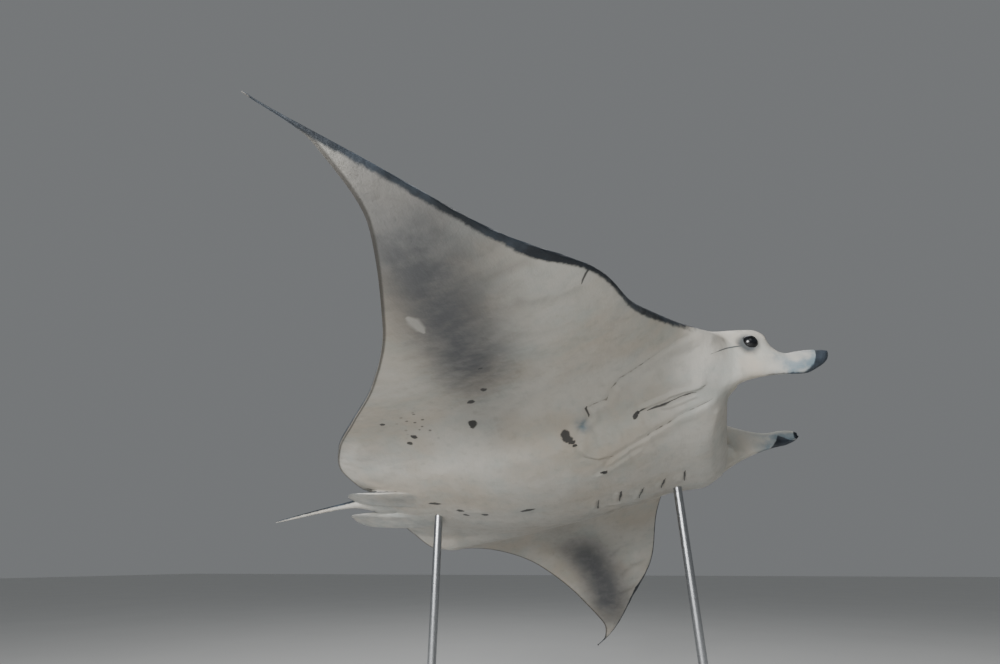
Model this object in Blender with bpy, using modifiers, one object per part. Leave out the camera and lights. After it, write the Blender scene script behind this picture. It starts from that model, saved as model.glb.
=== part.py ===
"""A reef manta ray, life size and still, banked on a plain display stand.

The animal is shaped in its own frame: +X ahead, +Y to its left, +Z out of its back, in shares of the
disc width. The whole fish is one form first. Thin gaps then part it into head, jaw, trunk, wings, fins
and tail, and an empty holds the lot at its swimming posture above the stand.
"""

import math

import bmesh
import bpy
import numpy as np
from mathutils import Vector

# Driving dimensions, metres and degrees.
DISC_WIDTH = 3.4  # wing tip to wing tip, along the skin
PARTING_GAP = 0.0005  # between two neighbouring pieces of the fish
NOSE_UP = 16.5  # pitch of the body on the stand
BANK = 17.4  # roll of the body, left wing down
BODY_HEIGHT = 1.29  # of the body frame's origin, above the floor
BODY_AHEAD = 0.78  # of the body frame's origin, ahead of the middle of the base

BASE_LENGTH, BASE_WIDTH, BASE_THICKNESS = 1.70, 1.10, 0.050
BASE_CORNER = 0.012
ROD_RADIUS = 0.016
ROD_SINK = 0.045  # how far a rod goes up into the belly
ROD_CLEARANCE = 0.0004
FLANGE_RADIUS, FLANGE_THICKNESS = 0.060, 0.010
RODS = {"front": (0.448, 0.115), "rear": (-0.490, 0.030)}  # places of the rods on the base

# Outline of the flat disc, right or left of the midline: (share out along the skin, share aft).
FRONT_EDGE = (
    (0.000, 0.046), (0.050, 0.045), (0.066, 0.042), (0.074, 0.032), (0.080, 0.019), (0.086, 0.010),
    (0.092, 0.006), (0.098, 0.007), (0.104, 0.018), (0.109, 0.034), (0.114, 0.046), (0.125, 0.053),
    (0.170, 0.098), (0.250, 0.152), (0.330, 0.194), (0.400, 0.259), (0.460, 0.313), (0.506, 0.361),
)
REAR_EDGE = (
    (0.000, 0.460), (0.030, 0.461), (0.060, 0.465), (0.085, 0.466), (0.130, 0.445), (0.200, 0.399),
    (0.280, 0.354), (0.360, 0.327), (0.430, 0.319), (0.475, 0.334), (0.506, 0.361),
)

# Spanwise bend of each wing: (share of the half span, degrees up from level), and its twist, nose up.
BEND = {
    -1: ((0.0, 0), (0.16, -1), (0.25, -19), (0.35, -25.5), (0.45, -26.8), (0.65, -22), (0.85, -7.5), (1.0, 22)),
    +1: ((0.0, 0), (0.25, 1), (0.45, -13.5), (0.65, -30), (0.85, -21), (1.0, -4)),
}
TWIST = {
    -1: ((0.0, 0), (0.45, -1.5), (1.0, -1)),
    +1: ((0.0, 0), (0.12, 0.4), (0.18, 1.4), (0.25, 5.4), (0.45, 2.1), (0.65, -0.7), (1.0, -1.6)),
}
TIP_AHEAD = {-1: 0.090, +1: 0.046}  # how far each tip is swung forward

# Half thicknesses above and below the middle surface, at the fullest chord: (share out, share thick).
BACK_SPAN = ((0, 0.046), (0.04, 0.044), (0.08, 0.037), (0.12, 0.027), (0.17, 0.0175), (0.25, 0.0105),
             (0.33, 0.0065), (0.40, 0.0042), (0.46, 0.0025), (0.50, 0.0012))
BELLY_SPAN = ((0, 0.078), (0.04, 0.076), (0.08, 0.068), (0.12, 0.050), (0.17, 0.025), (0.25, 0.012),
              (0.33, 0.007), (0.40, 0.0042), (0.46, 0.0025), (0.50, 0.0012))
# How that fullness runs from the head to the tail along the trunk: (share aft, part of the fullest).
BACK_LENGTH = ((0, 0.62), (0.05, 0.72), (0.12, 0.92), (0.20, 1), (0.30, 0.90), (0.38, 0.62), (0.45, 0.26))
BELLY_LENGTH = ((0, 0.60), (0.05, 0.82), (0.10, 1), (0.16, 1.02), (0.21, 1), (0.30, 0.84),
                (0.38, 0.50), (0.45, 0.18))
# The head is flatter below, from side to side, than the trunk it runs into.
THROAT_SPAN = ((0, 0.037), (0.05, 0.0365), (0.08, 0.0345), (0.10, 0.031), (0.13, 0.024), (0.5, 0.0012))
THROAT_LENGTH = ((0, 0.62), (0.05, 1.0), (0.10, 1.2), (0.45, 1.2))
THROAT_TO_BELLY = (0.02, 0.10)
# Along a wing's chord it runs from full at 30 % back to a thin trailing edge.
WING_CHORD = ((0, 1), (0.30, 1), (0.60, 0.68), (0.85, 0.26), (1, 0.08))
TRUNK_TO_WING = (0.10, 0.20)  # where the trunk's fullness gives way to the wing's
EDGE_RADIUS = ((0, 0.034), (0.06, 0.030), (0.08, 0.012), (0.105, 0.010), (0.114, 0.022), (0.13, 0.070),
               (0.17, 0.075), (0.25, 0.060), (0.33, 0.042), (0.40, 0.028), (0.46, 0.012), (0.50, 0.004))
THROAT_EDGE_RADIUS, THROAT_EDGE_TO_WING = 0.010, (0.10, 0.40)
REAR_HALF_THICKNESS = 0.0005
MIDDLE_HEIGHT, HEAD_DROP, HEAD_DROP_ENDS = 0.014, 0.032, 0.14
# Parts of the chord over which the trunk thins to its rear edge, on the back and on the belly.
BACK_THINS, BELLY_THINS = (0.88, 1.0), (0.94, 1.02)

SPAN_ROWS = (0, 0.02, 0.04, 0.056, 0.068, 0.078, 0.086, 0.092, 0.097, 0.101, 0.105, 0.109, 0.113, 0.118,
             0.125, 0.137, 0.155, 0.178, 0.203, 0.230, 0.258, 0.286, 0.314, 0.342, 0.370, 0.397, 0.423,
             0.447, 0.468, 0.487, 0.5035)
CHORD_ROWS = (0, 0.008, 0.02, 0.036, 0.056, 0.082, 0.115, 0.16, 0.22, 0.29, 0.37, 0.46, 0.56, 0.67, 0.78,
              0.89, 1.0)

# Cephalic lobes: (share ahead, height of the middle, half depth, half thickness, place aside).
LOBES = {
    -1: ((-0.078, -0.030, 0.0080, 0.0080, 0.0925), (-0.062, -0.031, 0.0125, 0.0115, 0.0925),
         (-0.045, -0.0325, 0.0160, 0.0122, 0.0918), (-0.030, -0.0350, 0.0175, 0.0110, 0.0905),
         (-0.016, -0.0390, 0.0182, 0.0090, 0.0888), (-0.005, -0.0448, 0.0142, 0.0072, 0.0875),
         (0.006, -0.0457, 0.0138, 0.0058, 0.0866), (0.0205, -0.0460, 0.0112, 0.0043, 0.086),
         (0.0275, -0.0465, 0.0088, 0.0034, 0.086), (0.0330, -0.0466, 0.0058, 0.0024, 0.086),
         (0.0362, -0.0466, 0.0024, 0.0011, 0.086)),
    +1: ((-0.078, -0.026, 0.0120, 0.0080, 0.0925), (-0.062, -0.025, 0.0190, 0.0112, 0.0920),
         (-0.045, -0.0235, 0.0235, 0.0118, 0.0912), (-0.030, -0.0245, 0.0225, 0.0108, 0.0900),
         (-0.016, -0.0275, 0.0188, 0.0088, 0.0885), (-0.005, -0.0320, 0.0138, 0.0070, 0.0873),
         (0.006, -0.0345, 0.0106, 0.0056, 0.0865), (0.014, -0.0352, 0.0092, 0.0046, 0.086),
         (0.022, -0.0361, 0.0076, 0.0036, 0.086), (0.028, -0.0368, 0.0052, 0.0026, 0.086),
         (0.0318, -0.0374, 0.0022, 0.0011, 0.086)),
}
LOBE_CURL = {-1: 0.0030, +1: 0.0055}  # how far the lobe's upper and lower edges roll inward
LOBE_LEAN = 0.10  # inward lean of the upper edge, as a share of the depth

EYE_AHEAD, EYE_ASIDE, EYE_HEIGHT, EYE_RADIUS = -0.022, 0.1005, -0.017, 0.0076
EYE_CLEARANCE = 0.0004  # metres

# The mouth, a slit cut in from ahead, and the room cut away ahead of the chin: (share ahead, height).
MOUTH_PROFILE = (
    (0.060, -0.020), (-0.010, -0.021), (-0.055, -0.022), (-0.082, -0.026), (-0.080, -0.030),
    (-0.060, -0.0305), (-0.0535, -0.0335), (-0.0535, -0.0400), (0.060, -0.0400),
)
CHIN_PROFILE = (
    (0.060, -0.0380), (-0.0535, -0.0380), (-0.0570, -0.0430), (-0.0640, -0.0520), (-0.0750, -0.0620),
    (-0.0900, -0.0720), (-0.0900, -0.1500), (0.060, -0.1500),
)
CHIN_HALF_WIDTH = 0.096
MOUTH_HALF_WIDTH = 0.0745
JAW_ENDS, JAW_TOP = -0.0900, -0.0285

# The tail: (share ahead, height, half width, half depth).
TAIL_SECTIONS = (
    (-0.390, 0.008, 0.0260, 0.0120), (-0.430, 0.010, 0.0270, 0.0115), (-0.455, 0.0135, 0.0220, 0.0110),
    (-0.475, 0.0190, 0.0150, 0.0095), (-0.490, 0.0245, 0.0075, 0.0065), (-0.508, 0.028, 0.0040, 0.0040),
    (-0.550, 0.034, 0.0026, 0.0025), (-0.585, 0.038, 0.0018, 0.0018), (-0.612, 0.041, 0.0010, 0.0010),
)
# The pelvic fins: (share aside, share ahead of the front edge, of the rear edge, height, half thickness).
PELVIC_SECTIONS = (
    (0.0125, -0.394, -0.482, 0.003, 0.0042), (0.024, -0.394, -0.489, 0.003, 0.0042),
    (0.036, -0.397, -0.489, 0.002, 0.0038), (0.046, -0.404, -0.484, 0.001, 0.0030),
    (0.053, -0.418, -0.474, 0.000, 0.0016),
)
PELVIC_TRAIL = {-1: -0.004, +1: 0.028}  # how much further back each fin is trailed
PELVIC_RISE, PELVIC_LEVEL_AT = 0.33, -0.45  # how steeply the fins rise toward the tail, and from where
# The dorsal fin: (height, share ahead of its front edge, of its rear edge, half thickness).
DORSAL_SECTIONS = (
    (0.016, -0.425, -0.468, 0.0036), (0.030, -0.430, -0.472, 0.0032), (0.038, -0.440, -0.476, 0.0024),
    (0.045, -0.452, -0.479, 0.0014), (0.048, -0.460, -0.478, 0.0007),
)

# Where the fish is parted.
WING_ROOT, HEAD_ENDS, REAR_ENDS = 0.118, -0.095, -0.4585
PELVIC_INNER, PELVIC_OUTER = 0.0115, 0.0545
DORSAL_FOOT, DORSAL_REACH = 0.0345, (-0.485, -0.420)
LOBE_PLANE_POINT, LOBE_PLANE_SLOPE, LOBE_INNER = (-0.004, -0.0205), 0.50, 0.0725
LOBE_BACK = -0.0475
FAR = 0.9  # past the end of everything

# name: (sRGB colour, roughness, metallic)
FINISHES = {
    "pale_skin": ((0.80, 0.79, 0.76), 0.45, 0.0),
    "dark_skin": ((0.10, 0.11, 0.13), 0.45, 0.0),
    "eye_surface": ((0.02, 0.02, 0.025), 0.08, 0.0),
    "stand_wood": ((0.23, 0.22, 0.21), 0.55, 0.0),
    "rod_steel": ((0.62, 0.63, 0.65), 0.30, 1.0),
}


# ---------------------------------------------------------------- scene and materials

def clear_scene():
    for thing in list(bpy.data.objects):
        bpy.data.objects.remove(thing, do_unlink=True)


def new_collection(name, is_helper=False):
    made = bpy.data.collections.new(name)
    bpy.context.scene.collection.children.link(made)
    made.hide_render = is_helper
    return made


def linear(channel):
    return channel / 12.92 if channel <= 0.04045 else ((channel + 0.055) / 1.055) ** 2.4


def finish(name):
    if name in bpy.data.materials:
        return bpy.data.materials[name]
    colour, roughness, metallic = FINISHES[name]
    material = bpy.data.materials.new(name)
    material.use_nodes = True
    shader = material.node_tree.nodes["Principled BSDF"]
    shader.inputs["Base Color"].default_value = (*map(linear, colour), 1.0)
    shader.inputs["Roughness"].default_value = roughness
    shader.inputs["Metallic"].default_value = metallic
    return material


def add_object(name, mesh, collection, parent=None):
    thing = bpy.data.objects.new(name, mesh)
    collection.objects.link(thing)
    thing.parent = parent
    return thing


def mesh_from(name, vertices, faces):
    """A mesh in metres from vertices in shares of the disc width, its faces turned outward."""
    form = bmesh.new()
    made = [form.verts.new(Vector(v) * DISC_WIDTH) for v in vertices]
    for face in faces:
        form.faces.new([made[i] for i in face])
    bmesh.ops.recalc_face_normals(form, faces=form.faces)
    bmesh.ops.triangulate(form, faces=form.faces)
    mesh = bpy.data.meshes.new(name)
    form.to_mesh(mesh)
    form.free()
    return mesh


def combine(thing, others, operation):
    """Applies one Boolean after another to an object, and returns it."""
    for other in others:
        modifier = thing.modifiers.new(operation.title(), "BOOLEAN")
        modifier.operation = operation
        modifier.solver = "EXACT"
        modifier.object = other
    bpy.context.view_layer.update()
    evaluated = thing.evaluated_get(bpy.context.evaluated_depsgraph_get())
    mesh = bpy.data.meshes.new_from_object(evaluated)
    thing.modifiers.clear()
    thing.data = mesh
    return thing


# ---------------------------------------------------------------- curves through stations

def curve(stations):
    """A smooth curve through (place, value) stations that never overshoots them."""
    x, y = np.array(stations, float).T
    step = np.diff(x)
    slope = np.diff(y) / step
    tangent = np.concatenate([slope[:1], np.zeros(len(x) - 2), slope[-1:]])
    for i in range(1, len(x) - 1):
        if slope[i - 1] * slope[i] > 0:
            ahead, behind = 2 * step[i] + step[i - 1], step[i] + 2 * step[i - 1]
            tangent[i] = (ahead + behind) / (ahead / slope[i - 1] + behind / slope[i])

    def value(place):
        place = np.clip(place, x[0], x[-1])
        i = np.clip(np.searchsorted(x, place, side="right") - 1, 0, len(step) - 1)
        t = (place - x[i]) / step[i]
        hold = (1 + 2 * t) * (1 - t) ** 2 * y[i] + t * t * (3 - 2 * t) * y[i + 1]
        lean = t * (1 - t) ** 2 * tangent[i] - t * t * (1 - t) * tangent[i + 1]
        return hold + step[i] * lean

    return value


def ramp(value, start, end):
    t = np.clip((value - start) / (end - start), 0, 1)
    return t * t * (3 - 2 * t)


front_edge, rear_edge = curve(FRONT_EDGE), curve(REAR_EDGE)
back_span, belly_span = curve(BACK_SPAN), curve(BELLY_SPAN)
back_length, belly_length = curve(BACK_LENGTH), curve(BELLY_LENGTH)
throat_span, throat_length = curve(THROAT_SPAN), curve(THROAT_LENGTH)
wing_chord, edge_radius = curve(WING_CHORD), curve(EDGE_RADIUS)


# ---------------------------------------------------------------- the disc

def distance_to_front_edge(aft, out):
    """The least distance in the flat disc from each point to the front edge, and where that is."""
    edge_out = np.linspace(0, 0.5, 1001)
    edge_aft = front_edge(edge_out)
    reach = np.hypot(aft[:, None] - edge_aft, out[:, None] - edge_out)
    nearest = reach.argmin(axis=1)
    return reach[np.arange(len(aft)), nearest], edge_out[nearest]


def half_thicknesses(aft, out, chord):
    """How far the skin stands above and below the middle surface."""
    distance, nearest = distance_to_front_edge(aft, out)
    radius = edge_radius(nearest)
    throat_radius = np.minimum(radius, THROAT_EDGE_RADIUS + ramp(out, *THROAT_EDGE_TO_WING))
    to_wing = ramp(out, *TRUNK_TO_WING)
    on_wing = wing_chord(chord)
    to_belly = ramp(aft, *THROAT_TO_BELLY)
    back = back_span(out) * back_length(aft)
    throat = throat_span(out) * throat_length(aft)
    belly = (1 - to_belly) * throat + to_belly * belly_span(out) * belly_length(aft)
    made = []
    surfaces = (back, back_span(out), radius, BACK_THINS), (belly, belly_span(out), throat_radius, BELLY_THINS)
    for trunk, wing, edge, thins in surfaces:
        thin = 1 - ramp(chord, *thins)
        full = (1 - to_wing) * trunk * thin + to_wing * wing * on_wing
        fill = np.minimum(distance / edge, 1)
        made.append(np.maximum(full, REAR_HALF_THICKNESS) * np.sqrt(1 - (1 - fill) ** 2))
    return made


def bent(aft, out, height, side):
    """Places points of the flat disc on the swimming fish."""
    arc = np.linspace(0, 0.51, 511)
    angle = np.radians(curve(BEND[side])(arc / 0.5))
    middle = (angle[1:] + angle[:-1]) / 2
    across = np.concatenate([[0], np.cumsum(np.cos(middle) * np.diff(arc))])
    rise = np.concatenate([[0], np.cumsum(np.sin(middle) * np.diff(arc))])
    tilt = np.interp(out, arc, angle)
    mid_chord = (front_edge(out) + rear_edge(out)) / 2
    twist = np.tan(np.radians(curve(TWIST[side])(out / 0.5)))
    lift = height + (mid_chord - aft) * twist
    swung = aft - TIP_AHEAD[side] * (out / 0.5) ** 2
    y = side * (np.interp(out, arc, across) - np.sin(tilt) * lift)
    z = np.interp(out, arc, rise) + np.cos(tilt) * lift
    return np.stack([-swung, y, z], axis=1)


def middle_height(aft):
    return MIDDLE_HEIGHT - HEAD_DROP * (1 - ramp(aft, 0, HEAD_DROP_ENDS))


def disc_mesh():
    """The head, trunk and wings as one closed form of chordwise rows, from the right tip to the left."""
    rows = [(-1, out) for out in reversed(SPAN_ROWS[1:])] + [(+1, out) for out in SPAN_ROWS]
    chord = np.array(CHORD_ROWS)
    vertices, tops, bottoms = [], [], []
    for side, out in rows:
        outs = np.full(len(chord), out)
        start, end = front_edge(outs), rear_edge(outs)
        aft = start + chord * (end - start)
        above, below = half_thicknesses(aft, outs, chord)
        middle = middle_height(aft)
        first = len(vertices)
        vertices.extend(bent(aft, outs, middle + above, side))
        vertices.extend(bent(aft, outs, middle - below, side)[1:])
        tops.append([first + i for i in range(len(chord))])
        bottoms.append([first] + [first + len(chord) + i for i in range(len(chord) - 1)])
    faces = []
    last = len(chord) - 1
    for a in range(len(rows) - 1):
        for surface in (tops, bottoms):
            for i in range(last):
                faces.append((surface[a][i], surface[a][i + 1], surface[a + 1][i + 1], surface[a + 1][i]))
        faces.append((tops[a][last], bottoms[a][last], bottoms[a + 1][last], tops[a + 1][last]))
    for row in (0, len(rows) - 1):
        top, bottom = tops[row], bottoms[row]
        faces.append((top[0], top[1], bottom[1]))
        for i in range(1, last):
            faces.append((top[i], top[i + 1], bottom[i + 1], bottom[i]))
    return mesh_from("disc", vertices, faces)


# ---------------------------------------------------------------- lobes, fins and tail

def loft(name, rings):
    """Skins a row of rings, each of as many points, and closes both ends."""
    count = len(rings[0])
    vertices = [point for ring in rings for point in ring]
    faces = []
    for r in range(len(rings) - 1):
        for i in range(count):
            j = (i + 1) % count
            faces.append((r * count + i, r * count + j, (r + 1) * count + j, (r + 1) * count + i))
    faces.append(tuple(range(count)))
    faces.append(tuple((len(rings) - 1) * count + i for i in range(count)))
    return mesh_from(name, vertices, faces)


def around(count):
    """Even turns round a ring, none of them on its axes."""
    return [2 * math.pi * (i + 0.5) / count for i in range(count)]


def lobe_mesh(side):
    """A cephalic lobe: an upright blade whose edges roll inward."""
    rings = []
    for ahead, height, depth, thick, middle in LOBES[side]:
        ring = []
        for turn in around(14):
            up, aside = math.cos(turn), math.sin(turn)
            roll = LOBE_CURL[side] * up * up + LOBE_LEAN * depth * max(up, 0)
            ring.append((ahead, side * (middle + thick * aside - roll), height + depth * up))
        rings.append(ring)
    return loft("lobe", rings)


def tail_mesh():
    rings = []
    for ahead, height, wide, deep in TAIL_SECTIONS:
        rings.append([(ahead, wide * math.sin(turn), height + deep * math.cos(turn)) for turn in around(12)])
    return loft("tail", rings)


def pelvic_mesh(side):
    rings = []
    for aside, ahead, behind, height, thick in PELVIC_SECTIONS:
        half = (ahead - behind + PELVIC_TRAIL[side]) / 2
        ring = []
        for turn in around(14):
            place = ahead - half + half * math.cos(turn)
            rise = PELVIC_RISE * (PELVIC_LEVEL_AT - place)
            ring.append((place, side * aside, height + rise + thick * math.sin(turn)))
        rings.append(ring)
    return loft("pelvic", rings)


def dorsal_mesh():
    rings = []
    for height, ahead, behind, thick in DORSAL_SECTIONS:
        middle, half = (ahead + behind) / 2, (ahead - behind) / 2
        rings.append([(middle + half * math.cos(t), thick * math.sin(t), height) for t in around(12)])
    return loft("dorsal", rings)


def ball(name, centre, radius, collection, parent):
    form = bmesh.new()
    bmesh.ops.create_uvsphere(form, u_segments=20, v_segments=12, radius=radius)
    bmesh.ops.translate(form, verts=form.verts, vec=centre)
    mesh = bpy.data.meshes.new(name)
    form.to_mesh(mesh)
    form.free()
    return add_object(name, mesh, collection, parent)


# ---------------------------------------------------------------- cutters

def block(name, low, high, helpers, parent):
    """A box between two corners given in shares of the disc width."""
    form = bmesh.new()
    bmesh.ops.create_cube(form, size=1)
    low, high = Vector(low) * DISC_WIDTH, Vector(high) * DISC_WIDTH
    for vertex in form.verts:
        vertex.co = Vector(low[i] + (vertex.co[i] + 0.5) * (high[i] - low[i]) for i in range(3))
    mesh = bpy.data.meshes.new(name)
    form.to_mesh(mesh)
    form.free()
    return helper(add_object(name, mesh, helpers, parent))


def prism(name, profile, low, high, helpers, parent):
    """A profile of (ahead, height) points drawn out from one side place to another."""
    count = len(profile)
    vertices = [(x, low, z) for x, z in profile] + [(x, high, z) for x, z in profile]
    faces = [tuple(range(count)), tuple(range(count, 2 * count))]
    faces += [(i, (i + 1) % count, count + (i + 1) % count, count + i) for i in range(count)]
    return helper(add_object(name, mesh_from(name, vertices, faces), helpers, parent))


def helper(thing):
    thing.hide_render = True
    thing.display_type = "WIRE"
    return thing


def lobe_region(name, side, grow, helpers, parent):
    """All that lies ahead of and below the slanting plane at a lobe's root, on one side."""
    x, z = LOBE_PLANE_POINT
    back = LOBE_BACK - grow
    profile = (
        (back, z + LOBE_PLANE_SLOPE * (back - x) + grow),
        (x + FAR / 8, z + LOBE_PLANE_SLOPE * FAR / 8 + grow),
        (x + FAR / 8, -FAR / 4),
        (back, -FAR / 4),
    )
    inner, outer = side * (LOBE_INNER - grow), side * FAR / 6
    return prism(name, profile, min(inner, outer), max(inner, outer), helpers, parent)


# ---------------------------------------------------------------- the fish

def whole_fish(helpers, posture):
    """The fish in one piece, its mouth and its eye sockets open."""
    disc = add_object("whole_fish", disc_mesh(), helpers, posture)
    chin = prism("chin_room", CHIN_PROFILE, -CHIN_HALF_WIDTH, CHIN_HALF_WIDTH, helpers, posture)
    combine(disc, [chin], "DIFFERENCE")
    parts = [add_object("tail_form", tail_mesh(), helpers, posture),
             add_object("dorsal_form", dorsal_mesh(), helpers, posture)]
    for side in (-1, +1):
        parts.append(add_object("lobe_form", lobe_mesh(side), helpers, posture))
        parts.append(add_object("pelvic_form", pelvic_mesh(side), helpers, posture))
    combine(disc, parts, "UNION")
    mouth = prism("mouth", MOUTH_PROFILE, -MOUTH_HALF_WIDTH, MOUTH_HALF_WIDTH, helpers, posture)
    sockets = []
    for side in (-1, +1):
        radius = EYE_RADIUS * DISC_WIDTH + EYE_CLEARANCE
        sockets.append(helper(ball("socket", eye_centre(side), radius, helpers, posture)))
    combine(disc, [mouth, *sockets], "DIFFERENCE")
    for thing in (disc, *parts):
        helper(thing)
    return disc


def eye_centre(side):
    return Vector((EYE_AHEAD, side * EYE_ASIDE, EYE_HEIGHT)) * DISC_WIDTH


def part_fish(fish, pieces, helpers, posture):
    """Parts the fish along planes, each neighbour half a gap back from them."""
    g = PARTING_GAP / DISC_WIDTH / 2

    def region(low, high):
        return block("region", low, high, helpers, posture)

    def piece(name, keep, take_away=()):
        made = add_object(name, fish.data.copy(), pieces, posture)
        combine(made, [keep], "INTERSECT")
        if take_away:
            combine(made, take_away, "DIFFERENCE")
        return made

    made = {}
    for side, name in ((-1, "right"), (+1, "left")):
        inner, outer = side * (WING_ROOT + g), side * FAR
        low, high = min(inner, outer), max(inner, outer)
        made[f"wing_{name}"] = piece(f"wing_{name}", region((-FAR, low, -FAR), (FAR, high, FAR)))
        made[f"cephalic_lobe_{name}"] = piece(
            f"cephalic_lobe_{name}", lobe_region("lobe_region", side, -g, helpers, posture)
        )
        inner, outer = side * PELVIC_INNER, side * PELVIC_OUTER
        low, high = min(inner, outer) + g, max(inner, outer) - g
        made[f"pelvic_fin_{name}"] = piece(
            f"pelvic_fin_{name}", region((-FAR, low, -FAR), (REAR_ENDS - g, high, FAR))
        )
    side_to_side = WING_ROOT - g
    lobes = [lobe_region("lobe_region", side, g, helpers, posture) for side in (-1, +1)]
    jaw = region((JAW_ENDS - g, -MOUTH_HALF_WIDTH - g, -FAR), (FAR, MOUTH_HALF_WIDTH + g, JAW_TOP + g))
    made["head"] = piece(
        "head", region((HEAD_ENDS + g, -side_to_side, -FAR), (FAR, side_to_side, FAR)), [*lobes, jaw]
    )
    inside = MOUTH_HALF_WIDTH - g
    made["lower_jaw"] = piece(
        "lower_jaw", region((JAW_ENDS + g, -inside, -FAR), (FAR, inside, JAW_TOP - g))
    )
    low, high = DORSAL_REACH
    fin = ((low, -PELVIC_INNER, DORSAL_FOOT), (high, PELVIC_INNER, FAR))
    made["dorsal_fin"] = piece(
        "dorsal_fin", region((fin[0][0] + g, fin[0][1] + g, fin[0][2] + g), (fin[1][0] - g, fin[1][1] - g, FAR))
    )
    fin_room = region(*fin)
    made["tail"] = piece(
        "tail", region((-FAR, -PELVIC_INNER + g, -FAR), (REAR_ENDS - g, PELVIC_INNER - g, FAR)), [fin_room]
    )
    rear = region((-FAR, -PELVIC_OUTER, -FAR), (REAR_ENDS, PELVIC_OUTER, FAR))
    made["trunk"] = piece(
        "trunk",
        region((-FAR, -side_to_side, -FAR), (HEAD_ENDS - g, side_to_side, FAR)),
        [rear, region(*fin)],
    )
    for name, thing in made.items():
        thing.data.materials.clear()
        dark = name in ("dorsal_fin", "tail")
        thing.data.materials.append(finish("dark_skin" if dark else "pale_skin"))
        smooth(thing, 50)
    return made


def smooth(thing, degrees):
    thing.data.shade_smooth()
    thing.data.set_sharp_from_angle(angle=math.radians(degrees))


def make_eyes(pieces, posture):
    for side, name in ((-1, "right"), (+1, "left")):
        eye = ball(f"eye_{name}", eye_centre(side), EYE_RADIUS * DISC_WIDTH, pieces, posture)
        eye.data.materials.append(finish("eye_surface"))
        eye.data.shade_smooth()


# ---------------------------------------------------------------- the stand

def cylinder(name, radius, low, high, place, collection, segments=32):
    form = bmesh.new()
    bmesh.ops.create_cone(
        form, cap_ends=True, segments=segments, radius1=radius, radius2=radius, depth=high - low
    )
    mesh = bpy.data.meshes.new(name)
    form.to_mesh(mesh)
    form.free()
    thing = add_object(name, mesh, collection)
    thing.location = (*place, (low + high) / 2)
    return thing


def belly_height(trunk, place):
    """Where a rod coming straight up at this place meets the belly."""
    bpy.context.view_layer.update()
    inverse = trunk.matrix_world.inverted()
    start = inverse @ Vector((*place, 0))
    up = (inverse.to_3x3() @ Vector((0, 0, 1))).normalized()
    hit, point, _, _ = trunk.ray_cast(start, up)
    if not hit:
        raise ValueError(f"no belly above {place}")
    return (trunk.matrix_world @ point).z


def make_stand(pieces, helpers, trunk):
    """A flat base, and two rods that go up into blind holes in the belly."""
    form = bmesh.new()
    bmesh.ops.create_cube(form, size=1)
    bmesh.ops.scale(form, verts=form.verts, vec=(BASE_LENGTH, BASE_WIDTH, BASE_THICKNESS))
    mesh = bpy.data.meshes.new("stand_base")
    form.to_mesh(mesh)
    form.free()
    base = add_object("stand_base", mesh, pieces)
    base.location = (0, 0, BASE_THICKNESS / 2)
    bevel = base.modifiers.new("Bevel", "BEVEL")
    bevel.width = BASE_CORNER
    bevel.segments = 3
    base.data.materials.append(finish("stand_wood"))
    smooth(base, 40)
    flange_top = BASE_THICKNESS + PARTING_GAP + FLANGE_THICKNESS
    for name, place in RODS.items():
        flange = cylinder(
            f"stand_flange_{name}", FLANGE_RADIUS, BASE_THICKNESS + PARTING_GAP, flange_top, place, pieces
        )
        top = belly_height(trunk, place) + ROD_SINK
        rod = cylinder(f"stand_rod_{name}", ROD_RADIUS, flange_top + PARTING_GAP, top, place, pieces)
        for thing in (flange, rod):
            thing.data.materials.append(finish("rod_steel"))
            smooth(thing, 40)
        room = cylinder(
            f"room_{name}", ROD_RADIUS + ROD_CLEARANCE, flange_top, top + ROD_CLEARANCE, place, helpers
        )
        combine(trunk, [helper(room)], "DIFFERENCE")


def main():
    clear_scene()
    pieces = new_collection("manta_ray")
    helpers = new_collection("cutters", is_helper=True)
    posture = bpy.data.objects.new("posture", None)
    pieces.objects.link(posture)
    posture.rotation_euler = (math.radians(-BANK), math.radians(-NOSE_UP), 0)
    posture.location = (BODY_AHEAD, 0, BODY_HEIGHT)
    bpy.context.view_layer.update()
    made = part_fish(whole_fish(helpers, posture), pieces, helpers, posture)
    make_eyes(pieces, posture)
    make_stand(pieces, helpers, made["trunk"])
    bpy.context.view_layer.update()


main()
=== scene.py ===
"""A life-size reef manta ray on its display stand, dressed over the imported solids.

The animal is shaped in its own frame: +X ahead, +Y to its left, +Z out of its back, in shares of the disc
width. One skin covers head, jaw, trunk, wings, lobes, fins and tail. Every point of it remembers where it
lies on the flat disc, and its markings follow from that. All finished pieces are in metres, in the frame
of the solids.
"""

import sys
import logging
import math
from dataclasses import dataclass, field, replace
from enum import Enum
from typing import Callable, Iterable, Sequence

import bmesh
import bpy
import numpy as np
from mathutils import Euler, Matrix, Vector
from mathutils.kdtree import KDTree


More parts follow.
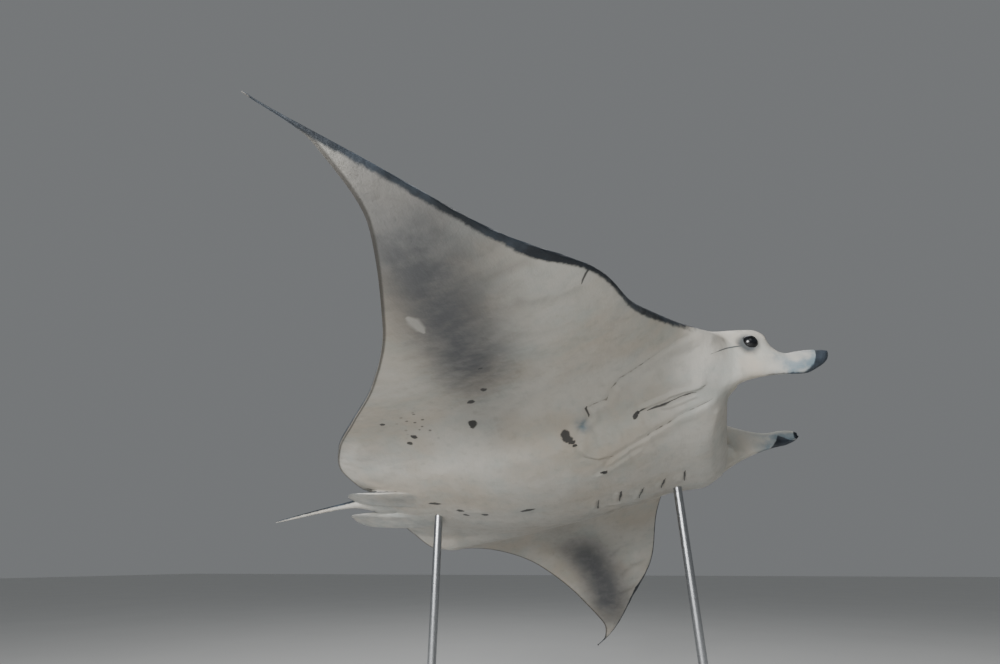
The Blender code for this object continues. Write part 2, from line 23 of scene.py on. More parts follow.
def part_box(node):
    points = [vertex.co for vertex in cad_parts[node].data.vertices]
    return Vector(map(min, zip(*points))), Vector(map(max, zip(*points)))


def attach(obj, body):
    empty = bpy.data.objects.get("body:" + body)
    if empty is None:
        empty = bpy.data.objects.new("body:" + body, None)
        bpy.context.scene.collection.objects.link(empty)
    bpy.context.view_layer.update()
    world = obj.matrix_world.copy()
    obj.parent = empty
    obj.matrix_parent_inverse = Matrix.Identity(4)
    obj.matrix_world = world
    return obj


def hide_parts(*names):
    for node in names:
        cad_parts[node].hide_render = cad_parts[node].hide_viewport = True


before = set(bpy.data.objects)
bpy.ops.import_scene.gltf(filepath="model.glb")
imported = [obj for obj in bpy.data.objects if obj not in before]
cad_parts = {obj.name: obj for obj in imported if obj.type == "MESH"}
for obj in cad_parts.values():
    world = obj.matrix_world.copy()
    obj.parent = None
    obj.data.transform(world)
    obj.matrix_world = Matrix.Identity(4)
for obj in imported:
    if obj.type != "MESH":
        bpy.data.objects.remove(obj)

log = logging.getLogger("manta")

Stations = tuple[tuple[float, float], ...]
Rows = tuple[tuple[float, ...], ...]
Span = tuple[float, float]
Grid = np.ndarray
Socket = bpy.types.NodeSocket
Value = Socket | float
Hue = Socket | str

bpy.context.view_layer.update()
ROOT = "root"
DISC_WIDTH = 3.4  # metres from wing tip to wing tip, along the skin


class Side(Enum):
    """The two sides of the animal, by the sign of their Y."""

    RIGHT = -1
    LEFT = +1

    @property
    def word(self) -> str:
        """The side's name in lower case."""
        return self.name.lower()


# ---------------------------------------------------------------- curves


@dataclass(frozen=True)
class Profile:
    """A smooth curve through stations that never overshoots them.

    Args:
        stations: Pairs of place and value, by rising place.
    """

    stations: Stations

    def __call__(self, place: Grid | float) -> Grid:
        """The curve's value at one place or at many.

        Args:
            place: One place or an array of them.

        Returns:
            The value at each, held at the end stations beyond them.
        """
        x, y = np.array(self.stations, float).T
        step = np.diff(x)
        slope = np.diff(y) / step
        tangent = np.concatenate([slope[:1], np.zeros(len(x) - 2), slope[-1:]])
        for i in range(1, len(x) - 1):
            if slope[i - 1] * slope[i] > 0:
                ahead, behind = 2 * step[i] + step[i - 1], step[i] + 2 * step[i - 1]
                tangent[i] = (ahead + behind) / (ahead / slope[i - 1] + behind / slope[i])
        place = np.clip(place, x[0], x[-1])
        i = np.clip(np.searchsorted(x, place, side="right") - 1, 0, len(step) - 1)
        t = (place - x[i]) / step[i]
        hold = (1 + 2 * t) * (1 - t) ** 2 * y[i] + t * t * (3 - 2 * t) * y[i + 1]
        return hold + step[i] * (t * (1 - t) ** 2 * tangent[i] - t * t * (1 - t) * tangent[i + 1])


def ramp(value: Grid | float, start: float, end: float) -> Grid:
    """Goes smoothly from 0 at start to 1 at end."""
    t = np.clip((value - start) / (end - start), 0, 1)
    return t * t * (3 - 2 * t)


def curves(stations: Grid) -> tuple[Profile, ...]:
    """A curve for each column of numbers after the first, which is the place."""
    return tuple(Profile(tuple(zip(stations[:, 0], column))) for column in stations.T[1:])


def spaced(low: float, high: float, count: int, density: Profile) -> Grid:
    """Places from low to high, closer together where the density is high.

    Args:
        low: The first place.
        high: The last place.
        count: How many places.
        density: How close they stand, by place.

    Returns:
        The places, in order.
    """
    fine = np.linspace(low, high, 4001)
    total = np.concatenate([[0], np.cumsum((density(fine)[1:] + density(fine)[:-1]) / 2)])
    return np.interp(np.linspace(0, total[-1], count), total, fine)


# ---------------------------------------------------------------- the animal's form


@dataclass(frozen=True)
class DiscForm:
    """Head, trunk and wings as one form, from the same sizes as the solids, in shares of the disc width."""

    front: Profile = Profile((
        (0.000, 0.046), (0.050, 0.045), (0.066, 0.042), (0.074, 0.032), (0.080, 0.019), (0.086, 0.010),
        (0.092, 0.006), (0.098, 0.007), (0.104, 0.018), (0.109, 0.034), (0.114, 0.046), (0.125, 0.053),
        (0.170, 0.098), (0.250, 0.152), (0.330, 0.194), (0.400, 0.259), (0.460, 0.313), (0.506, 0.361)))
    rear: Profile = Profile((
        (0.000, 0.460), (0.030, 0.461), (0.060, 0.465), (0.085, 0.466), (0.130, 0.445), (0.200, 0.399),
        (0.280, 0.354), (0.360, 0.327), (0.430, 0.319), (0.475, 0.334), (0.506, 0.361)))
    bend: dict[Side, Profile] = field(default_factory=lambda: {
        Side.RIGHT: Profile(((0, 0), (0.16, -1), (0.25, -19), (0.35, -25.5), (0.45, -26.8), (0.65, -22),
                             (0.85, -7.5), (1, 22))),
        Side.LEFT: Profile(((0, 0), (0.25, 1), (0.45, -13.5), (0.65, -30), (0.85, -21), (1, -4)))})
    twist: dict[Side, Profile] = field(default_factory=lambda: {
        Side.RIGHT: Profile(((0, 0), (0.45, -1.5), (1, -1))),
        Side.LEFT: Profile(((0, 0), (0.12, 0.1), (0.18, 0.6), (0.25, 5.4), (0.45, 2.1), (0.65, -0.7),
                            (1, -1.6)))})
    # The left side of the head is drawn back a little as the animal turns that way.
    horn_back: dict[Side, float] = field(default_factory=lambda: {Side.RIGHT: 0.0, Side.LEFT: 0.009})
    horn_out: float = 0.088
    horn_width: float = 0.016
    horn_fades: Span = (0.005, 0.060)
    tip_ahead: dict[Side, float] = field(default_factory=lambda: {Side.RIGHT: 0.090, Side.LEFT: 0.046})
    back_span: Profile = Profile((
        (0, 0.046), (0.04, 0.044), (0.08, 0.037), (0.12, 0.027), (0.17, 0.0175), (0.25, 0.0105),
        (0.33, 0.0065), (0.40, 0.0042), (0.46, 0.0025), (0.50, 0.0012)))
    belly_span: Profile = Profile((
        (0, 0.078), (0.04, 0.076), (0.08, 0.068), (0.12, 0.050), (0.17, 0.025), (0.25, 0.012),
        (0.33, 0.007), (0.40, 0.0042), (0.46, 0.0025), (0.50, 0.0012)))
    throat_span: Profile = Profile((
        (0, 0.037), (0.05, 0.0365), (0.08, 0.0345), (0.10, 0.031), (0.13, 0.024), (0.5, 0.0012)))
    back_length: Profile = Profile((
        (0, 0.62), (0.05, 0.72), (0.12, 0.92), (0.20, 1), (0.30, 0.90), (0.38, 0.62), (0.45, 0.26)))
    belly_length: Profile = Profile((
        (0, 0.60), (0.05, 0.82), (0.10, 1), (0.16, 1.02), (0.21, 1), (0.30, 0.84), (0.38, 0.50), (0.45, 0.18)))
    throat_length: Profile = Profile(((0, 0.62), (0.05, 1.0), (0.10, 1.2), (0.45, 1.2)))
    wing_chord: Profile = Profile(((0, 1), (0.30, 1), (0.60, 0.68), (0.85, 0.26), (1, 0.08)))
    edge_radius: Profile = Profile((
        (0, 0.034), (0.06, 0.030), (0.08, 0.012), (0.105, 0.010), (0.114, 0.022), (0.13, 0.070),
        (0.17, 0.075), (0.25, 0.060), (0.33, 0.042), (0.40, 0.028), (0.46, 0.012), (0.50, 0.004)))
    throat_to_belly: Span = (0.02, 0.10)
    trunk_to_wing: Span = (0.10, 0.20)
    throat_edge_radius: float = 0.010
    throat_edge_to_wing: Span = (0.10, 0.40)
    back_edge: Span = (0.88, 1.0)
    belly_edge: Span = (0.94, 1.02)
    rear_half_thickness: float = 0.0005
    middle: float = 0.014
    head_drop: float = 0.032
    head_drop_ends: float = 0.14
    half_span: float = 0.5
    tip: float = 0.5035

    def middle_height(self, aft: Grid) -> Grid:
        """Height of the surface midway between back and belly."""
        return self.middle - self.head_drop * (1 - ramp(aft, 0, self.head_drop_ends))

    def front_distance(self, aft: Grid, out: Grid) -> tuple[Grid, Grid]:
        """How far points of the flat disc lie from its front edge, and where along it.

        Args:
            aft: Their places back along the body.
            out: Their places out from the midline.

        Returns:
            The distances, and how far out the nearest point of the edge lies.
        """
        edge_out = np.linspace(0, self.half_span, 1001)
        edge_aft = self.front(edge_out)
        reach = np.hypot(aft[:, None] - edge_aft, out[:, None] - edge_out)
        nearest = reach.argmin(axis=1)
        return reach[np.arange(len(aft)), nearest], edge_out[nearest]

    def half_thicknesses(self, aft: Grid, out: Grid, chord: Grid) -> tuple[Grid, Grid, Grid]:
        """How far the skin stands above and below the middle, and the distance to the front edge.

        Args:
            aft: Places back along the body.
            out: Places out from the midline.
            chord: The same places as a part of the way from the front edge to the rear.

        Returns:
            The thickness above, the thickness below, and the distance to the front edge.
        """
        distance, nearest = self.front_distance(aft, out)
        radius = self.edge_radius(nearest)
        throat_radius = np.minimum(radius, self.throat_edge_radius + ramp(out, *self.throat_edge_to_wing))
        to_wing = ramp(out, *self.trunk_to_wing)
        to_belly = ramp(aft, *self.throat_to_belly)
        back = self.back_span(out) * self.back_length(aft)
        throat = self.throat_span(out) * self.throat_length(aft)
        belly = (1 - to_belly) * throat + to_belly * self.belly_span(out) * self.belly_length(aft)
        made = []
        for trunk, wing, edge, thins in ((back, self.back_span(out), radius, self.back_edge),
                                         (belly, self.belly_span(out), throat_radius, self.belly_edge)):
            trunk = trunk * (1 - ramp(chord, *thins))
            full = (1 - to_wing) * trunk + to_wing * wing * self.wing_chord(chord)
            fill = np.minimum(distance / edge, 1)
            made.append(np.maximum(full, self.rear_half_thickness) * np.sqrt(1 - (1 - fill) ** 2))
        return made[0], made[1], distance

    def bent(self, aft: Grid, out: Grid, height: Grid, side: Side) -> Grid:
        """Places points of the flat disc on the swimming animal.

        Args:
            aft: Places back along the body.
            out: Places out along the skin, never negative.
            height: Heights above the middle surface's own plane.
            side: The wing they belong to.

        Returns:
            Points in the body frame, one row each.
        """
        arc = np.linspace(0, self.half_span + 0.01, 511)
        angle = np.radians(self.bend[side](arc / self.half_span))
        middle = (angle[1:] + angle[:-1]) / 2
        across = np.concatenate([[0], np.cumsum(np.cos(middle) * np.diff(arc))])
        rise = np.concatenate([[0], np.cumsum(np.sin(middle) * np.diff(arc))])
        tilt = np.interp(out, arc, angle)
        mid_chord = (self.front(out) + self.rear(out)) / 2
        lift = height + (mid_chord - aft) * np.tan(np.radians(self.twist[side](out / self.half_span)))
        swung = aft - self.tip_ahead[side] * (out / self.half_span) ** 2
        horn = np.exp(-((out - self.horn_out) / self.horn_width) ** 2) * (1 - ramp(aft, *self.horn_fades))
        swung += self.horn_back[side] * horn
        y = side.value * (np.interp(out, arc, across) - np.sin(tilt) * lift)
        z = np.interp(out, arc, rise) + np.cos(tilt) * lift
        return np.stack([-swung, y, z], axis=1)


@dataclass(frozen=True)
class Path:
    """A path over the flat disc, its points given as (share aft, share to the left)."""

    points: Stations

    def measured(self, aft: Grid, left: Grid) -> tuple[Grid, Grid]:
        """How points lie to the path.

        Args:
            aft: Their places back along the body.
            left: Their places to the left.

        Returns:
            Their distance across the path in shares, more than 0 on the left of its run, and how far along
            it they lie, from 0 to 1.
        """
        corners = np.array(self.points)
        place = np.stack([aft, left], axis=-1)
        best, across, along = np.full(aft.shape, 9.0), np.full(aft.shape, 9.0), np.zeros(aft.shape)
        lengths = np.hypot(*np.diff(corners, axis=0).T)
        starts = np.concatenate([[0], np.cumsum(lengths)])
        for i, length in enumerate(lengths):
            heading = (corners[i + 1] - corners[i]) / length
            offset = place - corners[i]
            t = np.clip(offset @ heading, 0, length)
            gap = offset - t[..., None] * heading
            reach = np.hypot(gap[..., 0], gap[..., 1])
            sign = np.where(heading[0] * offset[..., 1] - heading[1] * offset[..., 0] < 0, -1, 1)
            nearer = reach < best
            across = np.where(nearer, reach * sign, across)
            along = np.where(nearer, starts[i] + t, along)
            best = np.minimum(best, reach)
        return across, along / starts[-1]

    def mirrored(self) -> "Path":
        """The same path on the other side of the animal, run the other way round the body's middle."""
        return Path(tuple((aft, -left) for aft, left in self.points))


@dataclass(frozen=True)
class Crease:
    """A groove along a path, with a lip on one side of it, and painted shade along it.

    Args:
        path: Where it runs.
        depth: Depth of the groove in metres.
        width: Half width of the groove in metres.
        lip: Height in metres of the flap beside the groove.
        lip_side: The side of the path that the flap is on, +1 for its left.
        flap: How far the flap reaches from the path, in metres.
        ink: How dark the painted shade in the groove is, 0 to 1.
        fades: The part of its length over which each end fades away.
        flap_edge: Where beside the path the flap reaches its full height and where it starts to fall, in metres.
    """

    path: Path
    depth: float = 0.004
    width: float = 0.007
    lip: float = 0.004
    lip_side: int = 1
    flap: float = 0.10
    ink: float = 0.4
    fades: float = 0.14
    flap_edge: Span = (0.010, 0.012)

    def measured(self, aft: Grid, left: Grid) -> tuple[Grid, Grid]:
        """Distance across the crease in metres, and how fully it is there, 0 to 1."""
        across, along = self.path.measured(aft, left)
        return across * DISC_WIDTH, ramp(along, 0, self.fades) * ramp(1 - along, 0, self.fades)

    def relief(self, aft: Grid, left: Grid) -> Grid:
        """How far the skin stands out there, in metres.

        Args:
            aft: Places back along the body.
            left: Places to the left.

        Returns:
            The height at each, less than 0 in the groove.
        """
        across, here = self.measured(aft, left)
        beside = across * self.lip_side
        groove = -self.depth * np.exp(-(across / self.width) ** 2)
        rises, falls = self.flap_edge
        flap = self.lip * ramp(beside, 0.0, rises) * (1 - ramp(beside, falls, self.flap))
        return here * (groove + flap)

    def line(self, aft: Grid, left: Grid) -> Grid:
        """How dark the painted shade in the crease's groove is there, 0 to 1."""
        across, here = self.measured(aft, left)
        return self.ink * here * np.exp(-(across / (0.8 * self.width)) ** 2)


@dataclass(frozen=True)
class Band:
    """A soft grey band along a path on the belly side of a wing.

    Args:
        path: Its middle.
        left_reach: How far it reaches to the left of the path's run, in shares.
        right_reach: How far it reaches to the right.
        start: How dark it is at its start, against its middle.
        rises: The part of its length over which it darkens from there.
        fades: Where along it the band starts to fade, and how much it has faded at its end.
        steepness: How sharp its sides are.
    """

    path: Path
    left_reach: float
    right_reach: float
    start: float = 0.7
    rises: float = 0.18
    fades: Span = (0.64, 0.70)
    steepness: float = 2.4

    def shade(self, aft: Grid, left: Grid) -> Grid:
        """How dark the band is there, 0 to 1.

        Args:
            aft: Places back along the body.
            left: Places to the left.

        Returns:
            The darkness at each.
        """
        across, along = self.path.measured(aft, left)
        reach = np.where(across > 0, self.left_reach, self.right_reach)
        begin = self.start + (1 - self.start) * ramp(along, 0, self.rises)
        end = 1 - self.fades[1] * ramp(along, self.fades[0], 1.0)
        return begin * end * np.exp(-(np.abs(across) / reach) ** self.steepness)


@dataclass(frozen=True)
class Posture:
    """How the animal's own frame stands above the middle of the base."""

    nose_up: float = 16.5
    bank: float = 17.4
    ahead: float = 0.78
    height: float = 1.29

    def matrix(self) -> Matrix:
        """The move from the animal's frame to the frame of the solids."""
        turn = Euler((math.radians(-self.bank), math.radians(-self.nose_up), 0), "XYZ").to_matrix().to_4x4()
        return Matrix.Translation((self.ahead, 0, self.height)) @ turn

    def placed(self, points: Grid) -> Grid:
        """Points of the animal's frame, in metres, put into the frame of the solids."""
        move = np.array(self.matrix())
        return points @ move[:3, :3].T + move[:3, 3]


# ---------------------------------------------------------------- meshes


def face_outward(mesh: bpy.types.Mesh) -> None:
    """Turns the faces of a closed mesh outward."""
    form = bmesh.new()
    form.from_mesh(mesh)
    bmesh.ops.recalc_face_normals(form, faces=form.faces)
    form.to_mesh(mesh)
    form.free()


def shaped(name: str, make: Callable, **settings) -> bpy.types.Mesh:
    """A mesh made by one of Blender's plain shapes.

    Args:
        name: The mesh's name.
        make: What makes the shape.
        settings: Its settings.

    Returns:
        The mesh.
    """
    form = bmesh.new()
    make(form, **settings)
    mesh = bpy.data.meshes.new(name)
    form.to_mesh(mesh)
    form.free()
    return mesh


def move_points(mesh: bpy.types.Mesh, places: Grid) -> None:
    """Moves a mesh's vertices to new places."""
    mesh.vertices.foreach_set("co", places.ravel())
    mesh.update()


@dataclass
class Form:
    """One closed form of the animal, with what the skin's finish needs to know at each point.

    Args:
        name: What it is.
        points: Places in the animal's frame, in metres.
        faces: Corners of each face.
        facts: Named values at the points, one number or three each.
    """

    name: str
    points: Grid
    faces: list[tuple[int, ...]]
    facts: dict[str, Grid]

    def mesh(self) -> bpy.types.Mesh:
        """The form as a mesh whose faces point outward.

        Returns:
            The mesh.
        """
        made = bpy.data.meshes.new(self.name)
        made.from_pydata(self.points.tolist(), [], self.faces)
        face_outward(made)
        return made


def lofted(rings: Sequence[Grid]) -> tuple[Grid, list[tuple[int, ...]]]:
    """Skins a row of rings and closes each end on a pole.

    Args:
        rings: Rings of equally many points.

    Returns:
        The points, poles last, and the faces.
    """
    count, rows = len(rings[0]), len(rings)
    points = np.concatenate([*rings, [rings[0].mean(axis=0)], [rings[-1].mean(axis=0)]])
    faces: list[tuple[int, ...]] = []
    for row in range(rows - 1):
        low, high = row * count, (row + 1) * count
        faces += [(low + i, low + (i + 1) % count, high + (i + 1) % count, high + i) for i in range(count)]
    last = (rows - 1) * count
    faces += [((i + 1) % count, i, rows * count) for i in range(count)]
    faces += [(last + i, last + (i + 1) % count, rows * count + 1) for i in range(count)]
    return points, faces


def turns(count: int) -> Grid:
    """Even turns round a ring, none of them on its axes."""
    return 2 * math.pi * (np.arange(count) + 0.5) / count


def added(name: str, mesh: bpy.types.Mesh) -> bpy.types.Object:
    """Puts a mesh into the scene as an object.

    Args:
        name: The object's name.
        mesh: Its mesh.

    Returns:
        The object.
    """
    made = bpy.data.objects.new(name, mesh)
    bpy.context.scene.collection.objects.link(made)
    return made


def combined(thing: bpy.types.Object, others: Iterable[bpy.types.Object], operation: str) -> None:
    """Applies one Boolean after another to an object and removes the others.

    Args:
        thing: The object that is changed.
        others: What is joined to it or cut from it.
        operation: UNION or DIFFERENCE.
    """
    for other in others:
        change = thing.modifiers.new(operation.title(), "BOOLEAN")
        change.operation = operation
        change.solver = "MANIFOLD"
        change.object = other
        bpy.context.view_layer.update()
        evaluated = thing.evaluated_get(bpy.context.evaluated_depsgraph_get())
        mesh = bpy.data.meshes.new_from_object(evaluated)
        thing.modifiers.clear()
        thing.data = mesh
        bpy.data.objects.remove(other, do_unlink=True)


def numbers(items: Sequence, name: str, width: int, kind: type = np.float64) -> Grid:
    """Reads what a mesh's items carry.

    Args:
        items: The mesh's vertices or edges.
        name: What is read from them.
        width: How many numbers each carries.
        kind: What kind of number it is.

    Returns:
        One row of numbers for each item.
    """
    flat = np.empty(len(items) * width, dtype=kind)
    items.foreach_get(name, flat)
    return flat.reshape(-1, width)


def coordinates(mesh: bpy.types.Mesh) -> Grid:
    """The places of a mesh's vertices, one row each."""
    return numbers(mesh.vertices, "co", 3)


def edge_ends(mesh: bpy.types.Mesh) -> Grid:
    """The two vertices of each edge of a mesh, one row each."""
    return numbers(mesh.edges, "vertices", 2, np.int64)


def smoothed(places: Grid, ends: Grid, weight: Grid, rounds: int) -> Grid:
    """Draws vertices toward their neighbours' mean, over and over.

    Args:
        places: The vertices' places.
        ends: The two vertices of each edge.
        weight: How freely each vertex moves, 0 to 1.
        rounds: How many times.

    Returns:
        The new places.
    """
    near = ends[(weight[ends] > 0).any(axis=1)]
    used, local = np.unique(near, return_inverse=True)
    local = local.reshape(-1, 2)
    here, free = places[used], 0.6 * weight[used][:, None]
    count = np.bincount(local.ravel(), minlength=len(used))[:, None]
    for _ in range(rounds):
        total = np.zeros_like(here)
        for axis in range(3):
            for a, b in ((0, 1), (1, 0)):
                total[:, axis] += np.bincount(local[:, a], here[local[:, b], axis], len(used))
        here = here + free * (total / count - here)
    made = places.copy()
    made[used] = here
    return made


# ---------------------------------------------------------------- the skin's form


@dataclass
class Lobe:
    """A cephalic lobe: an upright blade with a hollow inner face and rolled edges.

    Args:
        side: Which side of the head.
        blade: (ahead, height, half depth, half thickness, place aside) from inside the head to the tip.
        curl: How far the upper and lower edges roll inward.
    """

    side: Side
    blade: Rows
    curl: float
    lean: float = 0.10
    hollow: float = 0.8
    rings: int = 76
    around: int = 56
    # Where the dark tip's edge crosses the blade: (part of the way out, part of the half depth above the middle).
    dark_outside: Profile = Profile((
        (-0.90, -1.4), (-0.60, -1.0), (0.20, -0.95), (0.50, -0.76), (0.62, -0.45), (0.72, 0.2), (0.80, 1.0),
        (0.90, 1.6)))
    dark_inside: Profile = Profile(((0.10, -1.6), (0.45, -1.0), (0.75, -0.35), (0.86, 0.6), (0.92, 1.2)))
    # The blue grey mottle of the pale part: how strong it is away from the dark, and within what reach it gathers.
    mottle: float = 0.55
    mottle_reach: float = 0.07
    mottle_begins: Span = (-0.030, -0.004)
    # From where to where up the blade the pale part brightens into a painted highlight along its upper edge.
    pale_rim: Span = (0.55, 0.90)

    def form(self) -> Form:
        """The lobe's closed form, dark at its tip and along the lower edge behind it.

        Returns:
            The form.
        """
        stations = np.array(self.blade)
        height, depth, thick, middle = curves(stations)
        along = (1 - np.cos(np.linspace(0.06, 1, self.rings) * math.pi)) / 2
        places = np.interp(along, (along[0], 1), (stations[0, 0], stations[-1, 0]))
        turn = turns(self.around)
        up, aside = np.cos(turn), np.sin(turn)
        rings = []
        for place in places:
            hollow = self.hollow * ramp(place, -0.02, 0.01)
            inner = np.where(aside < 0, 1 - hollow * (1 - up ** 2), 1)
            roll = self.curl * up ** 2 + self.lean * depth(place) * np.maximum(up, 0)
            y = self.side.value * (middle(place) + thick(place) * aside * inner - roll)
            rings.append(np.stack([np.full(self.around, place), y, height(place) + depth(place) * up], axis=1))
        points, faces = lofted(rings)
        height_share = np.concatenate([np.tile(up, self.rings), [0, 0]])
        is_inside = np.concatenate([np.tile(aside < -0.15, self.rings), [False, False]])
        facts = self.facts(points[:, 0], height_share, is_inside, depth)
        return Form(f"lobe_{self.side.word}", points * DISC_WIDTH, faces, facts)

    def facts(self, ahead: Grid, up: Grid, is_inside: Grid, depth: Profile) -> dict[str, Grid]:
        """What the finish needs to know of the lobe's points.

        Args:
            ahead: How far ahead each point is.
            up: Where it is between the lower edge, -1, and the upper one, 1.
            is_inside: Whether it is on the hollow face.
            depth: The blade's half depth.

        Returns:
            The facts.
        """
        share = ahead / self.blade[-1][0]
        edge = np.where(is_inside, self.dark_inside(share), self.dark_outside(share))
        border = (up - edge) * depth(ahead) * DISC_WIDTH
        mottle = self.mottle + (1 - self.mottle) * ramp(border, self.mottle_reach, 0.0)
        # Toward the upper edge the mottle fades out into a painted highlight.
        mottle *= ramp(ahead, *self.mottle_begins) * (1 - 0.8 * ramp(up, *self.pale_rim))
        return plain_facts(len(ahead), border=border, mottle=mottle)


def plain_facts(count: int, border: Grid | float, mottle: Grid | float = 0.0) -> dict[str, Grid]:
    """Facts of a form that isn't on the flat disc.

    Args:
        count: How many points it has.
        border: Distance to its dark part in metres, less than 0 inside it.
        mottle: How blue grey its pale part is, 0 to 1.

    Returns:
        The facts, far from every marking of the disc.
    """
    nothing = np.zeros(count)
    return {"flat": np.tile([-2.0, 0.0, 1.0], (count, 1)), "border": nothing + border, "mottle": nothing + mottle,
            "shade": nothing, "crease": nothing, "patch": nothing, "inside": nothing, "rim": np.ones(count)}


@dataclass
class RearFins:
    """The tail, the small dorsal fin at its root, and the pelvic fins beside it."""

    # (ahead, height, half width, half depth) from the root to the end.
    tail: Rows = (
        (-0.390, 0.008, 0.0260, 0.0120), (-0.430, 0.010, 0.0270, 0.0115), (-0.455, 0.0135, 0.0220, 0.0110),
        (-0.475, 0.0190, 0.0150, 0.0095), (-0.490, 0.0245, 0.0075, 0.0065), (-0.508, 0.028, 0.0040, 0.0040),
        (-0.550, 0.034, 0.0026, 0.0025), (-0.585, 0.038, 0.0018, 0.0018), (-0.612, 0.041, 0.0010, 0.0010))
    # (out, front edge, rear edge, height, half thickness) from the root to the tip.
    pelvic: Rows = (
        (0.0125, -0.394, -0.482, 0.003, 0.0042), (0.024, -0.394, -0.489, 0.003, 0.0042),
        (0.036, -0.397, -0.489, 0.002, 0.0038), (0.046, -0.404, -0.484, 0.001, 0.0030),
        (0.053, -0.418, -0.474, 0.000, 0.0016))
    trail: dict[Side, float] = field(default_factory=lambda: {Side.RIGHT: -0.004, Side.LEFT: 0.028})
    rise: float = 0.33
    level_at: float = -0.45
    around: int = 28
    tail_rings: int = 64
    pelvic_rings: int = 30
    pelvic_density: Profile = Profile(((0, 1), (0.045, 1.4), (0.051, 4)))
    rear_thins: float = 0.65
    dorsal_rings: int = 26
    # (height, front edge, rear edge, half thickness) from the root to the tip.
    dorsal: Rows = (
        (0.016, -0.425, -0.468, 0.0036), (0.030, -0.430, -0.472, 0.0032), (0.038, -0.440, -0.476, 0.0024),
        (0.045, -0.452, -0.479, 0.0014), (0.048, -0.460, -0.478, 0.0007))

    def forms(self) -> list[Form]:
        """Tail, dorsal fin and both pelvic fins."""
        return [self.tail_form(), self.dorsal_form(), *(self.pelvic_form(side) for side in Side)]

    def tail_form(self) -> Form:
        """The tail, round and thin, dark above.

        Returns:
            The form.
        """
        stations = np.array(self.tail)[::-1]
        height, wide, deep = curves(stations)
        turn = turns(self.around)
        rings = []
        for place in np.linspace(stations[-1, 0], stations[0, 0], self.tail_rings):
            across, up = wide(place) * np.sin(turn), height(place) + deep(place) * np.cos(turn)
            rings.append(np.stack([np.full(len(turn), place), across, up], axis=1))
        points, faces = lofted(rings)
        up = (points[:, 2] - height(points[:, 0])) * DISC_WIDTH
        return Form("tail", points * DISC_WIDTH, faces, plain_facts(len(points), border=-up - 0.002, mottle=0.2))

    def pelvic_form(self, side: Side) -> Form:
        """A pelvic fin, a small rounded flap, dark above.

        Args:
            side: Which side of the tail's root it is on.

        Returns:
            The form.
        """
        stations = np.array(self.pelvic)
        ahead, behind, height, thick = curves(stations)
        turn = turns(2 * self.around)
        rings, rise = [], []
        for place in spaced(stations[0, 0], stations[-1, 0], self.pelvic_rings, self.pelvic_density):
            half = (ahead(place) - behind(place) + self.trail[side]) / 2
            x = ahead(place) - half + half * np.cos(turn)
            middle = height(place) + self.rise * (self.level_at - x)
            # A fin is thickest a third of the way back and thins to its rear edge.
            blade = thick(place) * np.sin(turn) * np.where(np.cos(turn) < 0, 1 + self.rear_thins * np.cos(turn), 1)
            rings.append(np.stack([x, np.full(len(turn), side.value * place), middle + blade], axis=1))
            rise.append(blade)
        points, faces = lofted(rings)
        up = np.concatenate([*rise, [0, 0]]) * DISC_WIDTH
        return Form("pelvic", points * DISC_WIDTH, faces, plain_facts(len(points), border=-up + 0.001, mottle=0.35))

    def dorsal_form(self) -> Form:
        """The small dorsal fin, dark all over.

        Returns:
            The form.
        """
        stations = np.array(self.dorsal)
        ahead, behind, thick = curves(stations)
        turn = turns(40)
        rings = []
        for place in np.linspace(stations[0, 0], stations[-1, 0], self.dorsal_rings):
            middle, half = (ahead(place) + behind(place)) / 2, (ahead(place) - behind(place)) / 2
            x = middle + half * np.cos(turn)
            rings.append(np.stack([x, thick(place) * np.sin(turn), np.full(len(turn), place)], axis=1))
        points, faces = lofted(rings)
        return Form("dorsal", points * DISC_WIDTH, faces, plain_facts(len(points), border=-0.05))


